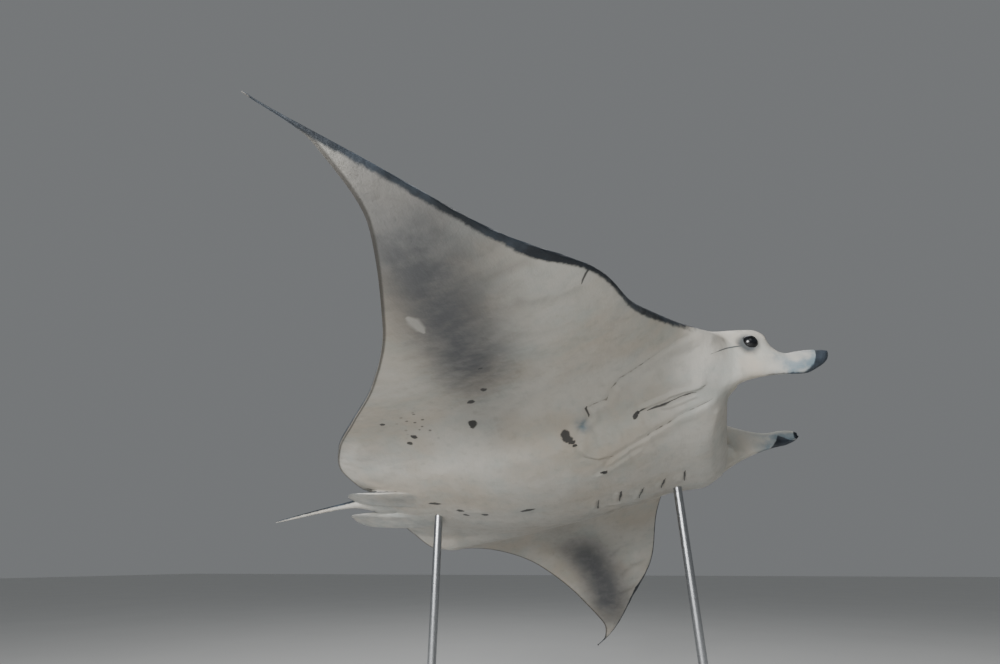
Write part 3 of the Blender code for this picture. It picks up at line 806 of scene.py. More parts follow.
@dataclass(frozen=True)
class MouthForm:
    """The mouth, a slit whose corners close, and the room cut away ahead of the chin."""

    slit: Stations = (
        (0.060, -0.020), (-0.010, -0.021), (-0.055, -0.022), (-0.082, -0.026), (-0.080, -0.030),
        (-0.060, -0.0305), (-0.0535, -0.0335), (-0.0535, -0.0400), (0.060, -0.0400))
    chin: Stations = (
        (0.060, -0.0380), (-0.0535, -0.0380), (-0.0570, -0.0430), (-0.0640, -0.0520), (-0.0750, -0.0620),
        (-0.0900, -0.0720), (-0.0900, -0.1500), (0.060, -0.1500))
    slit_half_width: float = 0.0745
    chin_half_width: float = 0.096
    slit_corner: float = 9
    chin_corner: float = 40
    step: float = 0.0016
    coarse_step: float = 0.02
    far_below: float = -0.08
    shallowest: float = 0.02
    # The painted shade inside the mouth: how far back it deepens, and the room it fills.
    inside_deepens: Span = (0.056, 0.072)
    inside_back: float = 0.1
    inside_half_width: float = 0.078
    inside_heights: Span = (-0.034, -0.018)

    def cutter(self, name: str, profile: Stations, half_width: float, corner: float) -> bpy.types.Object:
        """A finely divided prism over a profile of (ahead, height) points, drawn across the head.

        Args:
            name: The cutter's name.
            profile: Corners of the closed profile.
            half_width: How far it reaches to each side.
            corner: How square its corners are.

        Returns:
            The cutter's object.
        """
        corners = np.array(profile)
        outline = []
        for a, b in zip(corners, np.roll(corners, -1, axis=0)):
            # The far corners of a profile lie clear of the head, where nothing is cut.
            fine = self.step if min(a[0], b[0]) < 0.0 and min(a[1], b[1]) > self.far_below else self.coarse_step
            parts = max(1, int(np.linalg.norm(b - a) / fine))
            outline += [a + (b - a) * i / parts for i in range(parts)]
        outline = np.array(outline)
        rings = []
        front = outline[:, 0].max()
        for y in np.linspace(-half_width, half_width, int(2 * half_width / self.step / 1.5)):
            # The cut grows shallower toward its ends, so that the corners are round.
            part = max(self.shallowest, 1 - abs(y / half_width) ** corner) ** 0.5
            x = front + (outline[:, 0] - front) * part
            rings.append(np.stack([x, np.full(len(outline), y), outline[:, 1]], axis=1))
        points, faces = lofted(rings)
        # The ends are flat, so one face closes each.
        count = len(outline)
        last = (len(rings) - 1) * count
        faces = faces[:-2 * count] + [tuple(range(count))[::-1], tuple(range(last, last + count))]
        return added(name, Form(name, points[:-2] * DISC_WIDTH, faces, {}).mesh())

    def inside(self, points: Grid) -> Grid:
        """How far points lie inside the mouth, 0 to 1, which sets how deep its painted shade is.

        Args:
            points: Places in the animal's frame, in metres.

        Returns:
            The value at each.
        """
        ahead, left, height = (points / DISC_WIDTH).T
        low, high = self.inside_heights
        room = (ahead > -self.inside_back) & (np.abs(left) < self.inside_half_width)
        room &= (height > low) & (height < high)
        return ramp(-ahead, *self.inside_deepens) * room


@dataclass(frozen=True)
class EyeSize:
    """Where the eyes sit and how large they are, in shares of the disc width, and how loosely, in metres."""

    ahead: float = -0.022
    aside: float = 0.1005
    height: float = -0.0184
    radius: float = 0.0076
    clearance: float = 0.0004

    def centre(self, side: Side) -> Grid:
        """The eye's centre in the animal's frame, in metres."""
        return np.array([self.ahead, side.value * self.aside, self.height]) * DISC_WIDTH

    def reach(self, places: Grid) -> Grid:
        """How far places lie from the nearer eye's centre, in eye radii."""
        away = [np.linalg.norm(places - self.centre(side), axis=1) for side in Side]
        return np.minimum(*away) / (self.radius * DISC_WIDTH)


@dataclass(frozen=True)
class LidForm:
    """The soft ring of skin round an eye, fuller above.

    Args:
        crest: Where its crest lies, in eye radii from the eye's centre.
        width: Its half width, in eye radii.
        height: How far it rises, in metres.
        fuller: From how far below the eye's centre to how far above it the ring grows to its full height.
    """

    crest: float = 1.14
    width: float = 0.20
    height: float = 0.0055
    fuller: Span = (-0.02, 0.02)

    def rise(self, reach: Grid, above: Grid) -> Grid:
        """How far the skin rises, by the reach in eye radii and the height above the eye's centre."""
        full = 0.5 + 0.5 * ramp(above, *self.fuller)
        return np.exp(-((reach - self.crest) / self.width) ** 2) * self.height * full


@dataclass(frozen=True)
class Softening:
    """How the skin is smoothed where its forms meet, by rounds and by the places that each kind covers.

    Args:
        join_rounds: Rounds of smoothing at every join.
        join_spread: How many edges out from a join they reach.
        join_fade: How much weaker they are at each edge out.
        join_clear: Where the smoothing starts again round an eye, in eye radii.
        root_rounds: Rounds at the root of each lobe.
        root_begins: From where to where ahead the smoothing of a root begins.
        root_ends: From where to where ahead it ends, on each side.
        root_inner: From where to where out it begins.
        root_outer: From where to where out it ends.
        root_top: From where to where up it ends, on each side.
        root_clear: Where it starts again round an eye, in eye radii.
    """

    join_rounds: int = 12
    join_spread: int = 5
    join_fade: float = 0.85
    join_clear: Span = (1.05, 1.5)
    root_rounds: int = 260
    root_begins: Span = (-0.085, -0.062)
    root_ends: tuple[Span, Span] = ((-0.020, 0.014), (0.002, 0.014))
    root_inner: Span = (0.0765, 0.082)
    root_outer: Span = (0.118, 0.135)
    root_top: tuple[Span, Span] = ((-0.030, -0.014), (0.010, 0.018))
    root_clear: Span = (1.3, 2.2)

    def lobe_root(self, places: Grid, eye: EyeSize) -> Grid:
        """Where the skin flows from the cheek into a lobe, 0 to 1.

        Args:
            places: Places in the animal's frame, in metres.
            eye: The eyes, which are kept clear.

        Returns:
            The value at each.
        """
        ahead, left, height = (places / DISC_WIDTH).T
        out, is_left = np.abs(left), left > 0
        ends = np.where(is_left, *(ramp(ahead, *span) for span in self.root_ends[::-1]))
        top = np.where(is_left, *(ramp(height, *span) for span in self.root_top[::-1]))
        beside = ramp(out, *self.root_inner) * (1 - ramp(out, *self.root_outer))
        clear = ramp(eye.reach(places), *self.root_clear)
        return ramp(ahead, *self.root_begins) * (1 - ends) * beside * (1 - top) * clear


@dataclass(frozen=True)
class ShoulderPatches:
    """The two pale shoulder patches of the back, swept outward, sharp ahead and faded toward the tail.

    Args:
        aft: How far back a patch's front lies at its elbow.
        elbow: How far out the elbow is.
        sweep: How fast it runs back outside the elbow, and inside it.
        reach: How far it reaches ahead of its middle, and behind it.
        inner: From where to where out it begins.
        outer: From where to where out it fades.
    """

    aft: float = 0.105
    elbow: float = 0.10
    sweep: Span = (0.55, 0.25)
    reach: Span = (0.018, 0.034)
    inner: Span = (0.025, 0.070)
    outer: Span = (0.15, 0.25)

    def shade(self, aft: Grid, left: Grid) -> Grid:
        """How pale the back is there, 0 to 1.

        Args:
            aft: Places back along the body.
            left: Places to the left.

        Returns:
            The paleness at each.
        """
        out = np.abs(left)
        outside, inside = np.maximum(out - self.elbow, 0), np.maximum(self.elbow - out, 0)
        middle = self.aft + self.sweep[0] * outside - self.sweep[1] * inside
        reach = np.where(aft < middle, *self.reach)
        return np.exp(-((aft - middle) / reach) ** 2) * ramp(out, *self.inner) * (1 - ramp(out, *self.outer))


def both_sides(crease: Crease) -> tuple[Crease, Crease]:
    """A crease of the right side and its mirror on the left."""
    return crease, replace(crease, path=crease.path.mirrored(), lip_side=-crease.lip_side)


def slit(*points: tuple[float, float]) -> Crease:
    """A gill slit between two flaps, nearly shut."""
    return Crease(Path(points), depth=0.0012, width=0.009, lip=0.0012, lip_side=1, flap=0.06, ink=0.02)


def flap(*points: tuple[float, float], lip: float, ink: float, depth: float = 0.002, width: float = 0.009,
         reach: float = 0.05) -> Crease:
    """The edge of a gill flap, which stands out behind its groove."""
    return Crease(Path(points), depth, width, lip, 1, reach, ink)


def opening(*points: tuple[float, float], depth: float = 0.005, width: float = 0.006, lip: float = 0.004,
            ink: float = 0.20) -> Crease:
    """A short stretch of a slit that stands open, its lip ahead of it."""
    return Crease(Path(points), depth, width, lip, -1, 0.03, ink)


# The outer ends of the gill flaps climb in steps toward the head, and a low ridge runs inside them.
BELLY_CREASES: tuple[Crease, ...] = tuple(made for crease in (
    slit((0.113, -0.035), (0.112, -0.060), (0.116, -0.105), (0.126, -0.158)),
    slit((0.137, -0.033), (0.139, -0.055), (0.146, -0.100), (0.154, -0.152)),
    slit((0.162, -0.031), (0.165, -0.055), (0.168, -0.095), (0.178, -0.138)),
    slit((0.187, -0.033), (0.190, -0.050), (0.192, -0.085), (0.197, -0.122)),
    flap((0.086, -0.157), (0.102, -0.1635), (0.121, -0.1615), (0.141, -0.157), lip=0.004, ink=0.10),
    flap((0.137, -0.1575), (0.153, -0.1545), (0.168, -0.149), lip=0.005, ink=0.12),
    flap((0.164, -0.151), (0.173, -0.140), (0.178, -0.1355), (0.194, -0.135), lip=0.0055, ink=0.12),
    flap((0.193, -0.136), (0.1958, -0.1325), (0.1946, -0.121), (0.201, -0.114), (0.209, -0.105), lip=0.006,
         ink=0.14, depth=0.003),
    flap((0.208, -0.108), (0.2134, -0.090), (0.2134, -0.080), (0.2092, -0.071), (0.200, -0.0635), (0.184, -0.0585),
         lip=0.005, ink=0.06),
    flap((0.1476, -0.1075), (0.132, -0.1100), (0.122, -0.1125), (0.106, -0.1180), (0.085, -0.1215), lip=0.007,
         ink=0.30, depth=0.007, width=0.0075, reach=0.030),
    opening((0.129, -0.1062), (0.116, -0.1075), (0.103, -0.1138), (0.094, -0.1163), width=0.0065),
    flap((0.071, -0.1030), (0.078, -0.0990), (0.093, -0.0963), (0.108, -0.0900), (0.125, -0.0800),
         (0.147, -0.0725), (0.159, -0.0688), (0.181, -0.0610), (0.205, -0.0400), lip=0.0035, ink=0.05,
         depth=0.0025, width=0.010),
    flap((0.150, -0.0640), (0.161, -0.0600), (0.177, -0.0525), (0.194, -0.0440), (0.209, -0.0400), lip=0.0035,
         ink=0.06, depth=0.0025, width=0.010),
) for made in both_sides(crease)) + (
    # The inner ends of the left slits stand a little open.
    opening((0.1150, 0.010), (0.1165, 0.034)),
    opening((0.1365, 0.017), (0.1425, 0.037)),
    opening((0.1610, 0.020), (0.1690, 0.044)),
    opening((0.1850, 0.010), (0.1905, 0.035)),
    opening((0.2110, 0.016), (0.2160, 0.038), depth=0.004, lip=0.003, ink=0.15),
)
WING_CREASES: tuple[Crease, ...] = tuple(made for crease in (
    flap((0.200, -0.326), (0.211, -0.326), (0.222, -0.327), (0.241, -0.335), (0.252, -0.345), lip=0.002, ink=0.20,
         depth=0.004, width=0.016, reach=0.08),
    flap((0.235, -0.368), (0.244, -0.372), (0.256, -0.374), (0.270, -0.370), lip=0.0015, ink=0.22, depth=0.003,
         width=0.014, reach=0.08),
    flap((0.199, -0.283), (0.213, -0.283), (0.230, -0.287), (0.252, -0.300), lip=0.0015, ink=0.12, depth=0.003,
         width=0.014, reach=0.08),
    flap((0.240, -0.388), (0.252, -0.392), (0.266, -0.392), lip=0.0, ink=0.15, depth=0.003, width=0.010, reach=0.1),
) for made in both_sides(crease))
CREASES = (*BELLY_CREASES, *WING_CREASES)
# The soft grey bands of the wings, from the tip inward: along the right wing, then the left.
BANDS = (
    Band(Path(((0.330, -0.452), (0.306, -0.416), (0.299, -0.393), (0.294, -0.362), (0.289, -0.325), (0.285, -0.283),
               (0.284, -0.215), (0.290, -0.160))), 0.040, 0.030),
    Band(Path(((0.300, 0.420), (0.288, 0.370), (0.281, 0.335), (0.280, 0.300), (0.290, 0.250), (0.296, 0.215))),
         0.032, 0.040),
)


@dataclass
class SkinForm:
    """The whole animal as one closed skin, in its own frame, with its markings' facts at every point."""

    disc: DiscForm = field(default_factory=DiscForm)
    rear: RearFins = field(default_factory=RearFins)
    mouth: MouthForm = field(default_factory=MouthForm)
    eye: EyeSize = field(default_factory=EyeSize)
    lid: LidForm = field(default_factory=LidForm)
    softening: Softening = field(default_factory=Softening)
    shoulders: ShoulderPatches = field(default_factory=ShoulderPatches)
    lobes: tuple[Lobe, ...] = (
        Lobe(Side.RIGHT, (
            (-0.078, -0.030, 0.0080, 0.0080, 0.0925), (-0.062, -0.031, 0.0125, 0.0115, 0.0925),
            (-0.045, -0.0325, 0.0160, 0.0122, 0.0918), (-0.030, -0.0350, 0.0175, 0.0110, 0.0905),
            (-0.016, -0.0390, 0.0182, 0.0090, 0.0888), (-0.005, -0.0448, 0.0142, 0.0072, 0.0875),
            (0.006, -0.0457, 0.0138, 0.0058, 0.0866), (0.0205, -0.0460, 0.0112, 0.0043, 0.086),
            (0.0275, -0.0465, 0.0088, 0.0034, 0.086), (0.0330, -0.0466, 0.0058, 0.0024, 0.086),
            (0.0362, -0.0466, 0.0024, 0.0011, 0.086)), curl=0.0030),
        Lobe(Side.LEFT, (
            (-0.078, -0.026, 0.0120, 0.0080, 0.0925), (-0.062, -0.025, 0.0190, 0.0112, 0.0920),
            (-0.045, -0.0235, 0.0235, 0.0118, 0.0912), (-0.030, -0.0245, 0.0225, 0.0108, 0.0900),
            (-0.016, -0.0275, 0.0188, 0.0088, 0.0885), (-0.005, -0.0320, 0.0138, 0.0070, 0.0873),
            (0.006, -0.0345, 0.0106, 0.0056, 0.0865), (0.014, -0.0352, 0.0092, 0.0046, 0.086),
            (0.022, -0.0361, 0.0076, 0.0036, 0.086), (0.028, -0.0368, 0.0052, 0.0026, 0.086),
            (0.0318, -0.0374, 0.0022, 0.0011, 0.086)), curl=0.0055, dark_inside=Profile((
                (-0.30, -1.6), (-0.09, -1.05), (0.08, -0.7), (0.26, -0.1), (0.40, 0.5), (0.58, 0.2), (0.71, -0.45),
                (0.82, -1.0), (0.87, -0.8), (0.93, 1.3)))))
    rows_each_side: int = 200
    belly_columns: int = 152
    back_columns: int = 50
    row_density: Profile = Profile((
        (0, 1.5), (0.055, 1.6), (0.066, 2.2), (0.092, 2.6), (0.102, 4.2), (0.118, 4.2), (0.130, 1.9), (0.17, 1.8),
        (0.20, 0.8), (0.30, 0.62), (0.45, 0.62), (0.49, 1.2), (0.5035, 2.0)))
    belly_density: Profile = Profile((
        (0, 16), (0.01, 9), (0.04, 3.0), (0.10, 2.6), (0.45, 2.5), (0.55, 0.9), (0.95, 0.9), (1, 2.4)))
    back_density: Profile = Profile(((0, 16), (0.01, 8), (0.05, 2.4), (0.15, 1.2), (0.9, 1), (1, 2)))
    # How far the dark of the back comes round the front edge onto the belly side, by share out.
    dark_edge: Profile = Profile((
        (0.098, -0.014), (0.114, -0.010), (0.128, -0.004), (0.150, -0.0008), (0.190, 0.0014), (0.235, 0.0028),
        (0.285, 0.0018), (0.335, 0.0018), (0.355, 0.0028), (0.374, 0.0052), (0.392, 0.0034), (0.415, 0.0026),
        (0.445, 0.0024), (0.475, 0.0022), (0.500, 0.0022)))

    # A row takes in the creases that come this near to it.
    crease_reach: float = 0.03
    # Where the dark edge is pushed off the head, from where to where out and aft, and how far: below, and above
    # at the lobes' roots.
    pale_below: tuple[Span, Span, float] = ((0.112, 0.096), (0.035, 0.055), 0.02)
    pale_above: tuple[Span, Span, float] = ((0.080, 0.096), (0.030, 0.048), 0.06)
    # The blue grey blotch beside the rear gill flap: where it is, its half sizes and how strong it is.
    blotch: tuple[float, float, float, float, float] = (0.2025, -0.1150, 0.0065, 0.0085, 1.3)

    def disc_form(self) -> Form:
        """Head, trunk and wings, a row of rings from the right wing tip to the left.

        Returns:
            The form.
        """
        outs = spaced(0, self.disc.tip, self.rows_each_side, self.row_density)
        rows = [(Side.RIGHT, out) for out in outs[:0:-1]] + [(Side.LEFT, out) for out in outs]
        belly = spaced(0, 1, self.belly_columns, self.belly_density)
        back = spaced(0, 1, self.back_columns, self.back_density)
        # A ring runs from the front edge over the back to the rear edge, and home along the belly.
        chord = np.concatenate([back, belly[:0:-1]])
        is_belly = np.concatenate([np.zeros(len(back)), np.ones(len(belly) - 1)])
        rings, flats, fronts, rears = [], [], [], []
        for side, out in rows:
            out_here = np.full(len(chord), out)
            start, end = self.disc.front(out_here), self.disc.rear(out_here)
            aft = start + chord * (end - start)
            above, below, reach = self.disc.half_thicknesses(aft, out_here, chord)
            below = below + self.belly_relief(aft, side.value * out_here, is_belly) / DISC_WIDTH
            height = self.disc.middle_height(aft) + np.where(is_belly > 0, -below, above)
            rings.append(self.disc.bent(aft, out_here, height, side))
            flats.append(np.stack([aft, side.value * out_here, is_belly], axis=1))
            fronts.append(reach)
            rears.append(end - aft)
        points, faces = lofted(rings)
        flat = np.concatenate([*flats, [flats[0].mean(axis=0)], [flats[-1].mean(axis=0)]])
        front = np.concatenate([*fronts, [0, 0]])
        rear = np.concatenate([*rears, [0, 0]])
        return Form("disc", points * DISC_WIDTH, faces, self.disc_facts(flat, front, rear))

    def belly_relief(self, aft: Grid, left: Grid, is_belly: Grid) -> Grid:
        """How far the belly's gill flaps stand out, in metres, less than 0 in their slits."""
        near = [crease for crease in CREASES if self.is_near(crease, left[0])]
        return sum((crease.relief(aft, left) for crease in near), np.zeros_like(aft)) * is_belly

    def is_near(self, crease: Crease, left: float) -> bool:
        """Whether a crease comes anywhere near a row of the disc."""
        places = [place for _, place in crease.path.points]
        return min(places) - self.crease_reach < left < max(places) + self.crease_reach

    def disc_facts(self, flat: Grid, front: Grid, rear: Grid) -> dict[str, Grid]:
        """What the finish needs to know of the disc's points.

        Args:
            flat: (aft, left, 1 on the belly) of each, in shares.
            front: Distances to the front edge.
            rear: Distances to the rear edge along the chord.

        Returns:
            The named facts.
        """
        aft, left, belly = flat.T
        out = np.abs(left)
        # The dark of the back wraps round the front edge of the wing, and leaves the head pale.
        band = self.dark_edge(out)
        below, above = (
            push * ramp(out, *beside) * (1 - ramp(aft, *behind))
            for beside, behind, push in (self.pale_below, self.pale_above))
        border = np.where(belly > 0.5, front + below, above - front) - band
        # The creases' lines are painted shade in their grooves.
        creases = np.zeros(len(flat))
        for crease in CREASES:
            creases = np.maximum(creases, crease.line(aft, left) * (belly > 0.5))
        place, side, long, wide, strength = self.blotch
        blotch = strength * belly * np.exp(-((aft - place) / long) ** 2 - ((left - side) / wide) ** 2)
        return {
            "flat": flat * (DISC_WIDTH, DISC_WIDTH, 1), "border": border * DISC_WIDTH, "rim": rear * DISC_WIDTH,
            "shade": sum(band.shade(aft, left) for band in BANDS) * belly, "crease": creases, "mottle": blotch,
            "patch": self.shoulders.shade(aft, left) * (1 - belly), "inside": np.zeros(len(flat))}

    def raise_lids(self, thing: bpy.types.Object) -> None:
        """Raises the rim of each eye socket into a soft ring of skin.

        Args:
            thing: The disc's object, not yet cut.
        """
        mesh = thing.data
        places, normals = coordinates(mesh), numbers(mesh.vertices, "normal", 3)
        above = places[:, 2] - self.eye.height * DISC_WIDTH
        move_points(mesh, places + normals * self.lid.rise(self.eye.reach(places), above)[:, None])

    def build(self) -> tuple[bpy.types.Object, dict[str, Grid]]:
        """Joins and cuts the forms into one closed skin.

        Returns:
            The skin in the animal's frame, and its facts at each vertex.
        """
        forms = [self.disc_form()]
        skin = added("manta_skin", forms[0].mesh())
        self.raise_lids(skin)
        forms[0].points = coordinates(skin.data)
        log.info("disc: %d faces", len(skin.data.polygons))
        combined(skin, self.sockets(), "DIFFERENCE")
        mouth = self.mouth
        chin_room = mouth.cutter("chin_room", mouth.chin, mouth.chin_half_width, mouth.chin_corner)
        combined(skin, [chin_room], "DIFFERENCE")
        lobes, rear = [lobe.form() for lobe in self.lobes], self.rear.forms()
        combined(skin, (added(form.name, form.mesh()) for form in lobes), "UNION")
        mouth_slit = mouth.cutter("mouth_slit", mouth.slit, mouth.slit_half_width, mouth.slit_corner)
        combined(skin, [mouth_slit], "DIFFERENCE")
        combined(skin, (added(form.name, form.mesh()) for form in rear), "UNION")
        forms += [*lobes, *rear]
        facts, distance = self.carried_facts(skin.data, forms)
        # The mouth's inside is painted dark as shade.
        facts["inside"] = mouth.inside(coordinates(skin.data))
        self.soften_joins(skin.data, distance)
        log.info("skin: %d faces", len(skin.data.polygons))
        return skin, facts

    def sockets(self) -> list[bpy.types.Object]:
        """Balls a hair larger than the eyes, to cut their sockets with.

        Returns:
            One ball for each side.
        """
        made = []
        radius = self.eye.radius * DISC_WIDTH + self.eye.clearance
        for side in Side:
            ball = shaped("socket", bmesh.ops.create_uvsphere, u_segments=40, v_segments=24, radius=radius)
            move_points(ball, coordinates(ball) + self.eye.centre(side))
            made.append(added("socket", ball))
        return made

    def carried_facts(self, mesh: bpy.types.Mesh, forms: Sequence[Form]) -> tuple[dict[str, Grid], Grid]:
        """Brings the forms' facts to the vertices of the joined skin.

        Args:
            mesh: The joined skin.
            forms: The forms that it was made from.

        Returns:
            The facts, and each vertex's distance to the nearest point of a form.
        """
        points = np.concatenate([form.points for form in forms])
        merged = {name: np.concatenate([form.facts[name] for form in forms]) for name in forms[0].facts}
        tree = KDTree(len(points))
        for i, point in enumerate(points):
            tree.insert(point, i)
        tree.balance()
        places = coordinates(mesh)
        index = np.empty((len(places), 3), dtype=np.int64)
        reach = np.empty((len(places), 3))
        for i, place in enumerate(places):
            for j, (_, k, distance) in enumerate(tree.find_n(place, 3)):
                index[i, j], reach[i, j] = k, distance
        weight = 1 / (reach ** 2 + 1e-9)
        weight /= weight.sum(axis=1, keepdims=True)
        facts = {}
        for name, values in merged.items():
            spread = weight if values.ndim == 1 else weight[..., None]
            facts[name] = (values[index] * spread).sum(axis=1)
        return facts, reach[:, 0]

    def soften_joins(self, mesh: bpy.types.Mesh, distance: Grid) -> None:
        """Smooths the skin at the lobes' roots and where its forms were joined or cut.

        Args:
            mesh: The joined skin.
            distance: Each vertex's distance to the nearest point of a form, 0 where no cut or join made it.
        """
        ends, soft = edge_ends(mesh), self.softening
        weight = (distance > 1e-5).astype(float)
        for _ in range(soft.join_spread):
            reached = weight.copy()
            for a, b in ((0, 1), (1, 0)):
                np.maximum.at(reached, ends[:, a], soft.join_fade * weight[ends[:, b]])
            weight = reached
        places = coordinates(mesh)
        places = smoothed(places, ends, soft.lobe_root(places, self.eye), soft.root_rounds)
        weight *= ramp(self.eye.reach(places), *soft.join_clear)
        places = smoothed(places, ends, weight, soft.join_rounds)
        move_points(mesh, places)


# ---------------------------------------------------------------- finishes


def linear(code: str) -> tuple[float, float, float, float]:
    """Turns an sRGB hex colour into linear light, with an alpha of 1."""
    channels = [int(code[i:i + 2], 16) / 255 for i in (1, 3, 5)]
    return (*[c / 12.92 if c <= 0.04045 else ((c + 0.055) / 1.055) ** 2.4 for c in channels], 1.0)


def add(tree: bpy.types.NodeTree, kind: str, inputs: dict | None = None, **settings) -> bpy.types.Node:
    """Adds a node with its settings and links.

    Args:
        tree: The tree it goes into.
        kind: The node's type.
        inputs: Sockets by name or number, each given a link's output socket or a plain value.
        settings: Properties of the node.

    Returns:
        The new node.
    """
    made = tree.nodes.new(kind)
    for name, value in settings.items():
        setattr(made, name, value)
    for key, value in (inputs or {}).items():
        if isinstance(value, bpy.types.NodeSocket):
            tree.links.new(value, made.inputs[key])
        else:
            made.inputs[key].default_value = value
    return made


@dataclass
class Finish:
    """A material under construction: its tree, its shader, and short ways to the sums it is made of."""

    name: str
    material: bpy.types.Material = field(init=False)
    tree: bpy.types.NodeTree = field(init=False)
    shader: bpy.types.Node = field(init=False)

    def __post_init__(self) -> None:
        """Starts the material with a Principled shader."""
        self.material = bpy.data.materials.new(self.name)
        self.material.use_nodes = True
        self.tree = self.material.node_tree
        self.shader = self.tree.nodes["Principled BSDF"]

    def maths(self, operation: str, *values) -> Socket:
        """A sum of links and numbers."""
        return add(self.tree, "ShaderNodeMath", dict(enumerate(values)), operation=operation).outputs[0]

    def vectors(self, operation: str, *values, **inputs) -> Socket:
        """A sum of vectors, whose answer is a number where it is a length, a distance or a product."""
        node = add(self.tree, "ShaderNodeVectorMath", dict(enumerate(values)) | inputs, operation=operation)
        return node.outputs["Value" if operation in ("LENGTH", "DISTANCE", "DOT_PRODUCT") else "Vector"]

    def within(self, value: Value, low: float, high: float, to_low: float = 0.0, to_high: float = 1.0) -> Socket:
        """A value's place between two bounds, eased at both, from to_low to to_high."""
        inputs = {"Value": value, "From Min": low, "From Max": high, "To Min": to_low, "To Max": to_high}
        return add(self.tree, "ShaderNodeMapRange", inputs, interpolation_type="SMOOTHSTEP").outputs[0]

    def noise(self, vector: Socket, size: float, detail: float = 3.0, roughness: float = 0.5,
              stretch: tuple[float, float, float] = (1, 1, 1)) -> Socket:
        """Noise whose coarsest lumps are about size metres across, around 0.5.

        Args:
            vector: Places.
            size: How large its lumps are, in metres.
            detail: How many finer layers it has.
            roughness: How strong they are.
            stretch: How much finer it is along each axis.

        Returns:
            The noise.
        """
        place = add(self.tree, "ShaderNodeMapping", {"Vector": vector, "Scale": stretch}).outputs[0]
        inputs = {"Vector": place, "Scale": 1 / size, "Detail": detail, "Roughness": roughness}
        return add(self.tree, "ShaderNodeTexNoise", inputs).outputs[0]

    def blend(self, amount: Value, under: Hue, over: Hue) -> Socket:
        """One colour laid over another by an amount.

        Args:
            amount: How much of the upper colour shows, 0 to 1.
            under: The lower colour.
            over: The upper colour.

        Returns:
            The colour.
        """
        inputs = {0: amount, 6: linear(under) if isinstance(under, str) else under,
                  7: linear(over) if isinstance(over, str) else over}
        return add(self.tree, "ShaderNodeMix", inputs, data_type="RGBA").outputs[2]

    def tinted(self, amount: Value, strength: Value, under: Hue, over: Hue) -> Socket:
        """One colour laid over another by an amount and a strength."""
        return self.blend(self.maths("MULTIPLY", amount, strength), under, over)

    def fact(self, name: str, vector: bool = False) -> Socket:
        """A value that the mesh carries at its points."""
        node = add(self.tree, "ShaderNodeAttribute", attribute_name=name)
        return node.outputs["Vector" if vector else "Fac"]

    def relief(self, height: Socket, depth: float, under: Socket | None = None) -> Socket:
        """A bump of a real depth in metres, on top of another.

        Args:
            height: The bump's height, 0 to 1.
            depth: How deep it is, in metres.
            under: The bump that it stands on.

        Returns:
            The normal.
        """
        inputs = {"Height": height, "Distance": depth, "Strength": 1.0}
        if under is not None:
            inputs["Normal"] = under
        return add(self.tree, "ShaderNodeBump", inputs).outputs[0]

    def place(self) -> Socket:
        """Places in the object's own coordinates."""
        return add(self.tree, "ShaderNodeTexCoord").outputs["Object"]

    def set(self, **inputs) -> bpy.types.Material:
        """Sets or links the shader's sockets, underscores standing for spaces, and returns the material.

        Args:
            inputs: Values, colours or links by socket name.

        Returns:
            The material.
        """
        for key, value in inputs.items():
            socket = self.shader.inputs[key.replace("_", " ")]
            if isinstance(value, bpy.types.NodeSocket):
                self.tree.links.new(value, socket)
            else:
                socket.default_value = linear(value) if isinstance(value, str) else value
        return self.material


@dataclass(frozen=True)
class Spot:
    """A dark spot of the belly, by its place and half sizes on the flat disc, in shares of the disc width."""

    aft: float
    left: float
    long: float = 0.0042
    wide: float = 0.0032


@dataclass(frozen=True)
class Stroke:
    """A fine line of the skin: the places it runs through and its half width at each, in shares of the disc width.

    Args:
        points: (aft, left, half width) on the flat belly, or (ahead, left, height, half width) on the animal.
    """

    points: Rows

    def chain(self) -> list[tuple[Vector, float]]:
        """Its places and half widths in metres, as the skin's finish meets them.

        Returns:
            A place and a half width for each point.
        """
        if len(self.points[0]) == 3:
            return [(Vector((aft * DISC_WIDTH, left * DISC_WIDTH, 1.0)), wide * DISC_WIDTH)
                    for aft, left, wide in self.points]
        placed = Posture().placed(np.array([point[:3] for point in self.points]) * DISC_WIDTH)
        return [(Vector(place), point[3] * DISC_WIDTH) for place, point in zip(placed, self.points)]
